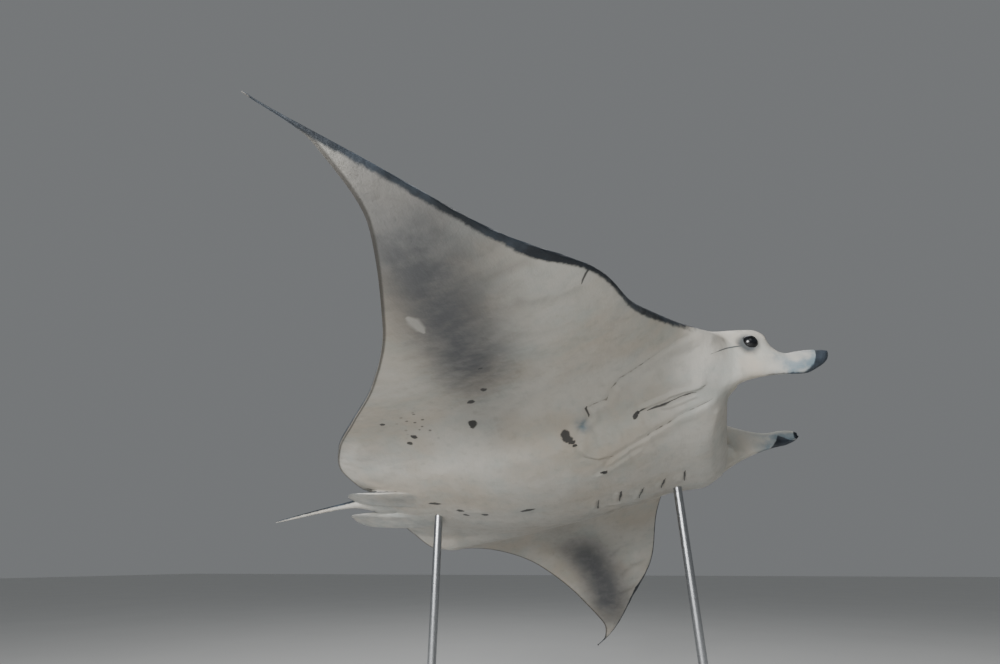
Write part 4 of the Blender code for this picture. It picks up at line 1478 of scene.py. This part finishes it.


# Painted shadow in the gill slits that stand open and in the small hooked fold of the right wing: (aft, left, half
# width).
SLITS: tuple[Stroke, ...] = (
    Stroke(((0.1500, -0.1070, 0.0006), (0.1437, -0.1080, 0.0011), (0.1319, -0.1105, 0.0010),
            (0.1224, -0.1130, 0.0006), (0.1139, -0.1163, 0.0008), (0.1063, -0.1190, 0.0010),
            (0.0957, -0.1212, 0.0007), (0.0858, -0.1215, 0.0002))),
    Stroke(((0.1404, -0.1050, 0.0003), (0.1310, -0.1062, 0.0012), (0.1237, -0.1064, 0.0010),
            (0.1162, -0.1080, 0.0006), (0.1094, -0.1120, 0.0007), (0.1030, -0.1138, 0.0006),
            (0.0946, -0.1163, 0.0002))),
    Stroke(((0.1945, -0.1350, 0.0004), (0.1958, -0.1325, 0.0010), (0.1945, -0.1250, 0.0008),
            (0.1948, -0.1212, 0.0003))),
    Stroke(((0.1986, -0.0413, 0.0008), (0.1924, -0.0425, 0.0006))),
    Stroke(((0.1146, 0.0080, 0.0004), (0.1156, 0.0230, 0.0011), (0.1165, 0.0345, 0.0004))),
    Stroke(((0.1360, 0.0160, 0.0004), (0.1390, 0.0270, 0.0013), (0.1425, 0.0375, 0.0004))),
    Stroke(((0.1605, 0.0190, 0.0003), (0.1640, 0.0310, 0.0010), (0.1690, 0.0440, 0.0004))),
    Stroke(((0.1845, 0.0100, 0.0004), (0.1870, 0.0220, 0.0013), (0.1905, 0.0350, 0.0004))),
    Stroke(((0.2110, 0.0160, 0.0003), (0.2160, 0.0380, 0.0008))),
    Stroke(((0.2006, -0.3395, 0.0009), (0.2030, -0.3402, 0.0010), (0.2050, -0.3382, 0.0010),
            (0.2064, -0.3345, 0.0008), (0.2068, -0.3300, 0.0003))),
)
# The shadowed edges of the gill flaps and of the ridge inside them: (aft, left, half width).
FLAP_EDGES: tuple[Stroke, ...] = (
    Stroke(((0.1209, -0.1613, 0.0003), (0.1390, -0.1575, 0.0006), (0.1604, -0.1537, 0.0009),
            (0.1695, -0.1462, 0.0003))),
    Stroke(((0.1730, -0.1400, 0.0003), (0.1756, -0.1363, 0.0006), (0.1892, -0.1350, 0.0004),
            (0.1940, -0.1345, 0.0008))),
    Stroke(((0.1590, -0.0688, 0.0002), (0.1466, -0.0725, 0.0006), (0.1251, -0.0800, 0.0006),
            (0.1076, -0.0900, 0.0003), (0.0934, -0.0963, 0.0006), (0.0780, -0.0988, 0.0002))),
    Stroke(((0.1816, -0.0605, 0.0005), (0.2001, -0.0645, 0.0004), (0.2092, -0.0720, 0.0002))),
)
# The pale scar of the near wing: (aft, left, half width).
SCAR: tuple[Stroke, ...] = (
    Stroke(((0.3120, -0.3590, 0.0012), (0.3095, -0.3530, 0.0030), (0.3068, -0.3430, 0.0024),
            (0.3055, -0.3370, 0.0008))),
)


@dataclass(frozen=True)
class EyeFold:
    """The painted shadow of the fold that runs back and down from each eye over the cheek, by a few places from its
    end to the eye.

    Args:
        height: How high it lies at each place ahead.
        aside: How far out it lies there.
        wide: Its half width there.
        ends: How far ahead it starts, at the eye, and ends.
        joints: How many places it is drawn through.
    """

    height: Profile = Profile((
        (-0.0665, -0.0330), (-0.0560, -0.0291), (-0.0432, -0.0228), (-0.0360, -0.0218), (-0.0287, -0.0222)))
    aside: Profile = Profile((
        (-0.0665, 0.1261), (-0.0560, 0.1207), (-0.0432, 0.1106), (-0.0360, 0.1070), (-0.0287, 0.1047)))
    wide: Profile = Profile(((-0.0665, 0.0002), (-0.0615, 0.0004), (-0.0430, 0.0006), (-0.0287, 0.0008)))
    ends: Span = (-0.0287, -0.0665)
    joints: int = 9

    def strokes(self) -> tuple[Stroke, ...]:
        """The fold's painted shadow on each side as a fine line.

        Returns:
            One line for each side.
        """
        places = np.linspace(*self.ends, self.joints)
        return tuple(Stroke(tuple((place, side.value * self.aside(place), self.height(place), self.wide(place))
                                  for place in places)) for side in Side)


@dataclass(frozen=True)
class MantaHide:
    """Cast and painted manta hide: matt skin over fine denticles, pale below and charcoal above.

    Real denticles are too fine to be seen from a few steps away, so they are drawn 4 mm across. They give the
    eye a soft, faintly satin surface with no mirror in it.
    """

    belly: str = "#b9b6ae"
    belly_warm: str = "#b0a89b"
    belly_cool: str = "#9ea6a3"
    belly_grey: str = "#7f7f79"
    band: str = "#545557"
    mottle: str = "#6b7b84"
    back: str = "#20252b"
    back_high: str = "#39414a"
    shoulder: str = "#a3a9ab"
    # The spots' ink, also laid as painted shadow in the open slits and the hooked fold.
    ink: str = "#2a2a2b"
    # Dark skin about the eyes, with painted shadow behind and below them and in the folds that run back from them.
    halo: str = "#2c363e"
    # Painted shade in the creases' grooves and along the gill flaps' edges; also the dark of the rear rim.
    crease: str = "#403d39"
    scar: str = "#d3d0c8"
    # Painted shade deep inside the mouth.
    mouth: str = "#15171a"
    spots: tuple[Spot, ...] = (
        Spot(0.279, -0.206), Spot(0.293, -0.186), Spot(0.301, -0.149, 0.0050, 0.0042), Spot(0.360, -0.145),
        Spot(0.368, -0.136, 0.0030, 0.0030), Spot(0.378, -0.179, 0.0030, 0.0026),
        Spot(0.276, -0.255, 0.0018, 0.0018), Spot(0.448, -0.051, 0.0030, 0.0070),
        Spot(0.385, -0.022, 0.0030, 0.0080), Spot(0.362, -0.004, 0.0034, 0.0050),
        Spot(0.360, 0.009, 0.0030, 0.0044), Spot(0.338, 0.007, 0.0030, 0.0044),
        Spot(0.288, 0.003, 0.0034, 0.0080), Spot(0.195, -0.041, 0.0026, 0.0030),
        Spot(0.2205, -0.1080, 0.0070, 0.0050), Spot(0.2185, -0.1020, 0.0062, 0.0050),
        Spot(0.2170, -0.0950, 0.0040, 0.0036), Spot(0.2160, -0.0885, 0.0022, 0.0026),
        Spot(0.1525, -0.1040, 0.0038, 0.0026), Spot(0.1500, -0.1068, 0.0026, 0.0030))
    spot_ragged: tuple[float, float, float] = (0.03, 0.03, 0.0)
    # The fine speckles: how far apart they lie, where their cluster is, and how fast it thins out along each way.
    speckle_pitch: float = 0.028
    speckle_place: tuple[float, float] = (0.347, -0.168)
    speckle_thins: tuple[float, float, float] = (14.0, 9.0, 4.0)
    eye: EyeSize = EyeSize()
    eye_fold: EyeFold = EyeFold()
    # The dark about an eye, its own dark skin with painted shadow behind and below, in eye radii: how far back, out
    # and down its middle lies, and where it starts and ends.
    halo_shift: tuple[float, float, float] = (-0.45, 0.25, -0.30)
    halo_reach: Span = (2.15, 1.05)

    def build(self) -> bpy.types.Material:
        """Makes the material.

        Returns:
            The material.
        """
        f = Finish("manta_hide_matt")
        flat, body = f.fact("flat", vector=True), f.place()
        fine = f.noise(body, 0.035, 5, 0.6)
        # The border between dark and pale is ragged over a few millimetres.
        border = f.maths("ADD", f.fact("border"), -0.0045)
        ragged = f.maths("MULTIPLY_ADD", f.noise(body, 0.018, 4, 0.7), 0.009, border)
        pale = self.marked(f, flat, body, fine, self.pale_side(f, body, fine))
        colour = f.blend(f.within(ragged, 0.003, -0.003), pale, self.dark_side(f, body))
        # The mouth's inside is painted near black as shade.
        colour = f.blend(f.fact("inside"), colour, self.mouth)
        # Slow swellings, then streaks that run along the body, then the denticles.
        bump = f.relief(f.noise(body, 0.12, 3), 0.010)
        bump = f.relief(f.noise(body, 0.030, 4, 0.6, (1, 0.18, 0.6)), 0.0016, bump)
        bump = f.relief(f.noise(body, 0.004, 2), 0.0006, bump)
        roughness = f.within(fine, 0.3, 0.7, 0.42, 0.58)
        return f.set(Base_Color=colour, Roughness=roughness, Normal=bump, Specular_IOR_Level=0.4)

    def pale_side(self, f: Finish, body: Socket, fine: Socket) -> Socket:
        """The colour of the pale skin: warm and cool patches, grey bands, blue grey mottle and a dark rear rim.

        Args:
            f: The finish under construction.
            body: The model's places.
            fine: A fine noise.

        Returns:
            The colour.
        """
        pale = f.blend(f.within(f.noise(body, 0.30, 4), 0.38, 0.66), self.belly, self.belly_warm)
        pale = f.blend(f.within(f.noise(body, 0.11, 5, 0.62), 0.42, 0.72, 0.0, 0.45), pale, self.belly_cool)
        pale = f.blend(f.within(fine, 0.5, 0.8, 0.0, 0.25), pale, self.belly_grey)
        uneven = f.within(f.noise(body, 0.07, 5, 0.6), 0.25, 0.6, 0.84, 1.0)
        pale = f.tinted(f.fact("shade"), uneven, pale, self.band)
        patchy = f.within(f.noise(body, 0.05, 4), 0.35, 0.65, 0.3, 1.0)
        pale = f.tinted(f.fact("mottle"), patchy, pale, self.mottle)
        return f.tinted(f.within(f.fact("rim"), 0.009, 0.004), 0.8, pale, self.crease)

    def marked(self, f: Finish, flat: Socket, body: Socket, fine: Socket, pale: Socket) -> Socket:
        """The pale skin with its scar, spots, the painted shade in its creases and slits, and the dark about the
        eyes with its painted shadow.

        Args:
            f: The finish under construction.
            flat: Places on the flat belly.
            body: The model's places.
            fine: A fine noise.
            pale: The colour of the pale skin.

        Returns:
            The colour.
        """
        pale = f.tinted(self.drawn(f, flat, SCAR), 0.35, pale, self.scar)
        # Painted shade in the creases' grooves.
        pale = f.blend(f.fact("crease"), pale, self.crease)
        pale = f.blend(self.spotted(f, flat, fine), pale, self.ink)
        # Painted shadow along the gill flaps' edges, broken up.
        broken = f.within(f.noise(body, 0.02, 3), 0.40, 0.62, 0.15, 0.75)
        pale = f.tinted(self.drawn(f, flat, FLAP_EDGES), broken, pale, self.crease)
        # Painted shadow in the open slits and the hooked fold.
        pale = f.tinted(self.drawn(f, flat, SLITS), 0.88, pale, self.ink)
        # The dark about the eyes, partly painted shadow.
        return f.blend(self.round_eyes(f, body), pale, self.halo)

    def dark_side(self, f: Finish, body: Socket) -> Socket:
        """The colour of the dark skin, charcoal with cloudy highs and the pale shoulder patches.

        Args:
            f: The finish under construction.
            body: The model's places.

        Returns:
            The colour.
        """
        dark = f.blend(f.within(f.noise(body, 0.09, 5, 0.6), 0.40, 0.72), self.back, self.back_high)
        clouds = f.maths("MULTIPLY", f.noise(body, 0.06, 5, 0.6), 0.5)
        return f.blend(f.within(f.maths("ADD", f.fact("patch"), clouds), 0.55, 1.15), dark, self.shoulder)

    def nearest(self, f: Finish, flat: Socket, noise: Socket, spots: Sequence[Spot]) -> Value:
        """How far the nearest spot is, in its own half sizes, its edge roughened by the noise.

        Args:
            f: The finish under construction.
            flat: Places on the flat belly.
            noise: The noise.
            spots: The spots.

        Returns:
            The distance.
        """
        shift = f.vectors("MULTIPLY", f.vectors("SUBTRACT", noise, (0.5, 0.5, 0.5)), self.spot_ragged)
        place = f.vectors("ADD", flat, shift)
        nearest: Value = 9.0
        for spot in spots:
            centre = (spot.aft * DISC_WIDTH, spot.left * DISC_WIDTH, 1.0)
            sizes = (1 / (spot.wide * DISC_WIDTH), 1 / (spot.long * DISC_WIDTH), 4.0)
            away = f.vectors("MULTIPLY", f.vectors("SUBTRACT", place, centre), sizes)
            nearest = f.maths("MINIMUM", f.vectors("LENGTH", away), nearest)
        return nearest

    def drawn(self, f: Finish, place: Socket, strokes: Sequence[Stroke]) -> Socket:
        """Where fine lines are, 0 to 1.

        Args:
            f: The finish under construction.
            place: The flat belly's places for flat strokes, the model's for the others.
            strokes: The lines.

        Returns:
            The value there.
        """
        nearest: Value = 9.0
        for stroke in strokes:
            chain = stroke.chain()
            for (start, wide), (end, wide_end) in zip(chain, chain[1:]):
                run = end - start
                offset = f.vectors("SUBTRACT", place, start)
                reach = f.vectors("DOT_PRODUCT", offset, run / run.length_squared)
                along = add(f.tree, "ShaderNodeClamp", {"Value": reach}).outputs[0]
                away = f.vectors("DISTANCE", offset, f.vectors("SCALE", run, Scale=along))
                width = f.maths("MULTIPLY_ADD", along, wide_end - wide, wide)
                nearest = f.maths("MINIMUM", f.maths("DIVIDE", away, width), nearest)
        return f.within(nearest, 1.7, 0.5)

    def round_eyes(self, f: Finish, body: Socket) -> Socket:
        """Where the skin is dark about an eye, its own dark skin with painted shadow most behind and below it, and
        the painted shadow of the fold that runs back from it.

        Args:
            f: The finish under construction.
            body: The model's places.

        Returns:
            The darkness there, 0 to 1.
        """
        radius = self.eye.radius * DISC_WIDTH
        outer, inner = self.halo_reach
        # The fold is only painted shadow.
        dark = f.maths("MULTIPLY", self.drawn(f, body, self.eye_fold.strokes()), 0.85)
        for side in Side:
            shift = np.array(self.halo_shift) * (1, side.value, 1)
            centre = Vector(Posture().placed((self.eye.centre(side) + radius * shift)[None])[0])
            softly = f.maths("MULTIPLY_ADD", f.noise(body, 0.03, 3), 0.016, f.vectors("DISTANCE", body, centre))
            dark = f.maths("MAXIMUM", f.within(softly, outer * radius, inner * radius, 0.0, 0.85), dark)
        return dark

    def spotted(self, f: Finish, flat: Socket, noise: Socket) -> Socket:
        """Where the spots and the fine speckles are.

        Args:
            f: The finish under construction.
            flat: Places on the flat belly.
            noise: What roughens the spots' edges.

        Returns:
            The darkness there, 0 to 1.
        """
        nearest = self.nearest(f, flat, noise, self.spots)
        speck = add(f.tree, "ShaderNodeTexVoronoi", {"Vector": flat, "Scale": 1 / self.speckle_pitch})
        centre = (*(share * DISC_WIDTH for share in self.speckle_place), 1.0)
        away = f.vectors("MULTIPLY", f.vectors("SUBTRACT", flat, centre), self.speckle_thins)
        cluster = f.within(f.vectors("LENGTH", away), 1.3, 0.3, 0.0, 0.75)
        dots = f.maths("MULTIPLY", f.within(speck.outputs["Distance"], 0.24, 0.12), cluster)
        return f.maths("MAXIMUM", f.within(nearest, 1.15, 0.75, 0.0, 0.92), dots)


@dataclass(frozen=True)
class GlassEye:
    """A blown glass eye, painted behind: black pupil, brown iris, clear hard gloss."""

    pupil: str = "#050607"
    iris: str = "#0b0d10"
    iris_light: str = "#16191c"
    rim: str = "#0a0b0d"

    def build(self) -> bpy.types.Material:
        """Makes the material, painted by the eye's own gaze frame.

        Returns:
            The material.
        """
        f = Finish("glass_eye_gloss")
        gaze = f.fact("gaze", vector=True)
        # The pupil is a level oval, the iris's edge a round ring.
        pupil = f.vectors("LENGTH", f.vectors("MULTIPLY", gaze, (1.0, 0.0, 1.7)))
        ring = f.vectors("LENGTH", f.vectors("MULTIPLY", gaze, (1.0, 0.0, 1.0)))
        threads = f.noise(gaze, 0.09, 3, 0.6, (1, 0.2, 1))
        colour = f.blend(f.within(threads, 0.4, 0.7), self.iris, self.iris_light)
        colour = f.blend(f.within(ring, 0.58, 0.74), colour, self.rim)
        colour = f.blend(f.within(pupil, 0.52, 0.46), colour, self.pupil)
        return f.set(Base_Color=colour, Roughness=0.22, Coat_Weight=0.2, Coat_Roughness=0.12, IOR=1.4)


@dataclass(frozen=True)
class StainedOak:
    """Oak, planed, stained dark grey and waxed: long grain along the base, open pores, a low satin."""

    light: str = "#4a4541"
    dark: str = "#2b2826"
    pore: str = "#191716"

    def build(self) -> bpy.types.Material:
        """Makes the material, its grain along X.

        Returns:
            The material.
        """
        f = Finish("stained_oak_waxed")
        place = f.place()
        broad = f.noise(place, 0.055, 4, 0.6, (0.10, 1, 1))
        rings = add(f.tree, "ShaderNodeTexWave", {
            "Vector": add(f.tree, "ShaderNodeMapping", {"Vector": place, "Scale": (0.12, 1, 0.6)}).outputs[0],
            "Scale": 14.0, "Distortion": 7.0, "Detail": 3.0, "Detail Scale": 1.2}, bands_direction="Y").outputs[1]
        pores = f.noise(place, 0.0025, 3, 0.6, (0.04, 1, 1))
        colour = f.tinted(rings, 0.65, self.light, self.dark)
        colour = f.blend(f.within(broad, 0.4, 0.7, 0, 0.5), colour, self.dark)
        colour = f.blend(f.within(pores, 0.60, 0.72, 0, 0.7), colour, self.pore)
        bump = f.relief(pores, 0.0004)
        return f.set(Base_Color=colour, Roughness=f.within(pores, 0.3, 0.7, 0.38, 0.55), Normal=bump)


@dataclass(frozen=True)
class BrushedSteel:
    """Stainless bar and plate, brushed round its axis: grey metal with fine rings that stretch its lights."""

    name: str = "stainless_brushed"
    colour: str = "#b9bbbd"
    shade: str = "#9a9da0"
    roughness: float = 0.30

    def build(self) -> bpy.types.Material:
        """Makes the material, its brush marks level.

        Returns:
            The material.
        """
        f = Finish(self.name)
        marks = f.noise(f.place(), 0.0012, 2, 0.6, (0.06, 0.06, 1))
        colour = f.blend(f.within(marks, 0.3, 0.7), self.colour, self.shade)
        roughness = f.within(marks, 0.3, 0.7, self.roughness - 0.05, self.roughness + 0.10)
        return f.set(Base_Color=colour, Metallic=1.0, Roughness=roughness, Normal=f.relief(marks, 0.00008))


# ---------------------------------------------------------------- the pieces


def finished(thing: bpy.types.Object, name: str, material: bpy.types.Material) -> None:
    """Names a finished piece, dresses it and lets it ride on the still model.

    Args:
        thing: The piece.
        name: Its name.
        material: What it is dressed in.
    """
    thing.name = name
    thing.data.name = name
    thing.data.materials.clear()
    thing.data.materials.append(material)
    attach(thing, ROOT)
    log.info("%s: %d faces", name, len(thing.data.polygons))


@dataclass
class Hide:
    """The skin, dressed and set in its posture."""

    form: SkinForm
    posture: Posture
    flesh: tuple[str, ...] = (
        "head", "lower_jaw", "trunk", "wing_left", "wing_right", "cephalic_lobe_left", "cephalic_lobe_right",
        "pelvic_fin_left", "pelvic_fin_right", "dorsal_fin", "tail")

    def build(self, material: bpy.types.Material) -> None:
        """Makes the skin, which stands for all the flesh of the solids.

        Args:
            material: What it is dressed in.
        """
        skin, facts = self.form.build()
        mesh = skin.data
        for name, values in facts.items():
            is_vector = values.ndim == 2
            layer = mesh.attributes.new(name, "FLOAT_VECTOR" if is_vector else "FLOAT", "POINT")
            layer.data.foreach_set("vector" if is_vector else "value", values.astype(np.float32).ravel())
        move_points(mesh, self.posture.placed(coordinates(mesh)))
        mesh.shade_smooth()
        mesh.set_sharp_from_angle(angle=math.radians(62))
        finished(skin, "manta_skin", material)
        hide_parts(*self.flesh)


@dataclass
class Eyes:
    """The two eyes, glass globes with their gaze outward."""

    size: EyeSize
    posture: Posture
    look_ahead: float = 18.0
    segments: int = 64
    rings: int = 40
    # The globe is this part of the eye's size, so that it clears its socket.
    fit: float = 0.995

    def build(self, material: bpy.types.Material) -> None:
        """Makes both eyes, each in place of its solid."""
        for side in Side:
            self.eye(side, material)

    def eye(self, side: Side, material: bpy.types.Material) -> None:
        """One eye, its pole turned outward so that its iris has no seam.

        Args:
            side: Which eye it is.
            material: What it is dressed in.
        """
        mesh = shaped("eye", bmesh.ops.create_uvsphere, u_segments=self.segments, v_segments=self.rings, radius=1.0)
        local = coordinates(mesh)
        # In the gaze frame X is ahead, Y outward and Z up.
        gaze = np.stack([local[:, 0], local[:, 2], -local[:, 1]], axis=1)
        turn = math.radians(self.look_ahead)
        ahead = gaze[:, 0] * math.cos(turn) + gaze[:, 1] * math.sin(turn)
        outward = gaze[:, 1] * math.cos(turn) - gaze[:, 0] * math.sin(turn)
        ball = np.stack([ahead, side.value * outward, gaze[:, 2]], axis=1)
        points = ball * self.size.radius * DISC_WIDTH * self.fit + self.size.centre(side)
        layer = mesh.attributes.new("gaze", "FLOAT_VECTOR", "POINT")
        layer.data.foreach_set("vector", gaze.astype(np.float32).ravel())
        move_points(mesh, self.posture.placed(points))
        face_outward(mesh)
        mesh.shade_smooth()
        eye = added("eye", mesh)
        name = f"eye_{side.word}"
        finished(eye, f"{name}_globe", material)
        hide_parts(name)


@dataclass
class Stand:
    """The base, rods and flanges of the solids, dressed, with the screws that hold the flanges down."""

    screw_circle: float = 0.045
    head_radius: float = 0.0065
    head_height: float = 0.0045
    socket_radius: float = 0.0032
    screws: int = 4
    screw_sides: int = 24
    screw_gap: float = 0.0002
    names: tuple[str, ...] = ("front", "rear")

    def build(self, wood: bpy.types.Material, steel: bpy.types.Material) -> None:
        """Dresses the solids and adds the screws.

        Args:
            wood: What the base is dressed in.
            steel: What the rods and flanges are dressed in.
        """
        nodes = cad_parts
        self.dress(nodes["stand_base"], wood)
        for name in self.names:
            self.dress(nodes[f"stand_rod_{name}"], steel)
            self.dress(nodes[f"stand_flange_{name}"], steel)
            self.flange_screws(name, steel)

    def dress(self, node: bpy.types.Object, material: bpy.types.Material) -> None:
        """Gives a solid a better material in its own slots."""
        for slot in node.material_slots:
            slot.material = material

    def screw_mesh(self) -> bpy.types.Mesh:
        """A cap screw's head: a turned cylinder with an eased top and a six-sided socket.

        Returns:
            The mesh.
        """
        r, h, s = self.head_radius, self.head_height, self.socket_radius
        outside = ((r, 0.0), (r, h * 0.82), (r * 0.93, h * 0.96), (r * 0.84, h))
        socket = ((s * 1.12, h), (s, h * 0.92), (s, h * 0.35))
        # The socket's wall is six-sided: each corner is drawn in to the hexagon's flats.
        angle = 2 * math.pi * np.arange(self.screw_sides) / self.screw_sides
        six = np.cos(math.pi / 6) / np.cos((angle % (math.pi / 3)) - math.pi / 6)
        rings = []
        for i, (radius, height) in enumerate((*outside, *socket)):
            reach = radius * (six if i >= len(outside) else np.ones(len(angle)))
            ring = [reach * np.cos(angle), reach * np.sin(angle), np.full(len(angle), height)]
            rings.append(np.stack(ring, axis=1))
        points, faces = lofted(rings)
        return Form("screw", points, faces, {}).mesh()

    def screw_tree(self) -> tuple[bpy.types.NodeTree, dict[str, str]]:
        """The node tree that sets screws on a circle, each turned its own way.

        Returns:
            The tree, and the identifiers of its inputs by their labels.
        """
        tree = bpy.data.node_groups.new("screws_round_a_flange", "GeometryNodeTree")
        kinds = {"Screw": "Object", "Count": "Int", "Circle": "Float", "Centre": "Vector", "Material": "Material"}
        sockets = {}
        for label, kind in kinds.items():
            made = tree.interface.new_socket(label, in_out="INPUT", socket_type=f"NodeSocket{kind}")
            sockets[label] = made.identifier
        tree.interface.new_socket("Geometry", in_out="OUTPUT", socket_type="NodeSocketGeometry")
        given = add(tree, "NodeGroupInput").outputs
        circle = add(tree, "GeometryNodeMeshCircle", {"Vertices": given["Count"], "Radius": given["Circle"]})
        moved = add(tree, "GeometryNodeTransform", {"Geometry": circle.outputs[0], "Translation": given["Centre"]})
        model = add(tree, "GeometryNodeObjectInfo", {"Object": given["Screw"]})
        turned = add(tree, "FunctionNodeRandomValue", {2: 0.0, 3: 6.28, "Seed": 7}, data_type="FLOAT")
        spin = add(tree, "ShaderNodeCombineXYZ", {"Z": turned.outputs[1]})
        placed = add(tree, "GeometryNodeInstanceOnPoints", {
            "Points": moved.outputs[0], "Instance": model.outputs["Geometry"], "Rotation": spin.outputs[0]})
        real = add(tree, "GeometryNodeRealizeInstances", {"Geometry": placed.outputs[0]})
        dressed = add(tree, "GeometryNodeSetMaterial", {"Geometry": real.outputs[0], "Material": given["Material"]})
        add(tree, "NodeGroupOutput", {0: dressed.outputs[0]})
        return tree, sockets

    def flange_screws(self, name: str, material: bpy.types.Material) -> None:
        """Sets the screws round one flange with a node tree.

        Args:
            name: Which rod's flange it is.
            material: What the screws are dressed in.
        """
        low, high = (Vector(corner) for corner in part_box(f"stand_flange_{name}"))
        screw = added("screw", self.screw_mesh())
        tree, sockets = self.screw_tree()
        holder = added("holder", bpy.data.meshes.new("holder"))
        modifier = holder.modifiers.new("Screws", "NODES")
        modifier.node_group = tree
        centre = ((low.x + high.x) / 2, (low.y + high.y) / 2, high.z + self.screw_gap)
        given = {"Screw": screw, "Count": self.screws, "Circle": self.screw_circle, "Centre": centre,
                 "Material": material}
        for label, value in given.items():
            modifier[sockets[label]] = value
        bpy.context.view_layer.update()
        evaluated = holder.evaluated_get(bpy.context.evaluated_depsgraph_get())
        mesh = bpy.data.meshes.new_from_object(evaluated)
        holder.modifiers.clear()
        bpy.data.objects.remove(holder, do_unlink=True)
        bpy.data.objects.remove(screw, do_unlink=True)
        mesh.shade_smooth()
        mesh.set_sharp_from_angle(angle=math.radians(35))
        finished(added("screws", mesh), f"stand_screws_{name}", material)


# ---------------------------------------------------------------- the studio


@dataclass(frozen=True)
class Lamp:
    """A soft square light: where it hangs, what it is turned to, its size in metres and its strength in watts."""

    name: str
    place: tuple[float, float, float]
    aim: tuple[float, float, float]
    size: float
    watts: float

    def build(self) -> None:
        """Hangs the light."""
        lamp = bpy.data.lights.new(self.name, "AREA")
        lamp.size = self.size
        lamp.energy = self.watts
        made = bpy.data.objects.new(self.name, lamp)
        made.location = self.place
        made.rotation_euler = (Vector(self.aim) - Vector(self.place)).to_track_quat("-Z", "Y").to_euler()
        bpy.context.scene.collection.objects.link(made)


@dataclass
class Studio:
    """A pale floor, soft plain light, and the camera."""

    # Where the camera stands, in metres, and which way its own right and down point.
    camera_place: tuple[float, float, float] = (0.27462, -1.97024, 0.66404)
    right: tuple[float, float, float] = (0.96908, 0.24673, -0.00138)
    down: tuple[float, float, float] = (-0.10545, 0.40913, -0.90636)
    lens: float = 17.815
    floor_size: float = 60.0
    floor_dark: str = "#dcdcda"
    floor_light: str = "#e4e4e2"
    sky: str = "#e9edf0"
    sky_strength: float = 0.22
    # The key hangs beside the camera, the side lamp fills the far wing, and the top one lights the back.
    lamps: tuple[Lamp, ...] = (
        Lamp("key", (-0.80, -3.20, 1.65), (-0.2, -0.8, 1.6), 1.3, 195),
        Lamp("side", (1.2, -3.0, 2.8), (0.6, -0.3, 1.3), 1.6, 12),
        Lamp("top", (0.6, 1.5, 5.0), (0.2, 0.2, 1.2), 3.0, 70))

    def build(self) -> None:
        """Sets floor, light and camera."""
        self.floor()
        self.world()
        for lamp in self.lamps:
            lamp.build()
        self.camera()

    def floor(self) -> None:
        """A plain pale floor with a faint mottle."""
        mesh = shaped("floor", bmesh.ops.create_grid, x_segments=2, y_segments=2, size=self.floor_size / 2)
        floor = added("floor", mesh)
        f = Finish("pale_studio_floor")
        tint = f.blend(f.noise(f.place(), 0.8, 3), self.floor_dark, self.floor_light)
        mesh.materials.append(f.set(Base_Color=tint, Roughness=0.8))

    def world(self) -> None:
        """A pale, even surround."""
        world = bpy.data.worlds.new("studio")
        bpy.context.scene.world = world
        world.use_nodes = True
        background = world.node_tree.nodes["Background"]
        background.inputs["Color"].default_value = linear(self.sky)
        background.inputs["Strength"].default_value = self.sky_strength

    def camera(self) -> None:
        """The camera, low beside the base and looking up under the near wing."""
        lens = bpy.data.cameras.new("camera")
        lens.lens, lens.sensor_width, lens.clip_end = self.lens, 36.0, 200.0
        made = bpy.data.objects.new("camera", lens)
        right, up = Vector(self.right), -Vector(self.down)
        back = right.cross(up)
        turn = Matrix((right, up, back)).transposed().to_4x4()
        made.matrix_world = Matrix.Translation(self.camera_place) @ turn
        bpy.context.scene.collection.objects.link(made)
        bpy.context.scene.camera = made


def main() -> None:
    """Builds the pieces in order."""
    logging.basicConfig(level=logging.INFO, format="%(name)s: %(message)s", stream=sys.stdout)
    posture = Posture()
    steel = BrushedSteel().build()
    Hide(SkinForm(), posture).build(MantaHide().build())
    Eyes(EyeSize(), posture).build(GlassEye().build())
    Stand().build(StainedOak().build(), steel)
    Studio().build()


if __name__ == "__main__":
    main()
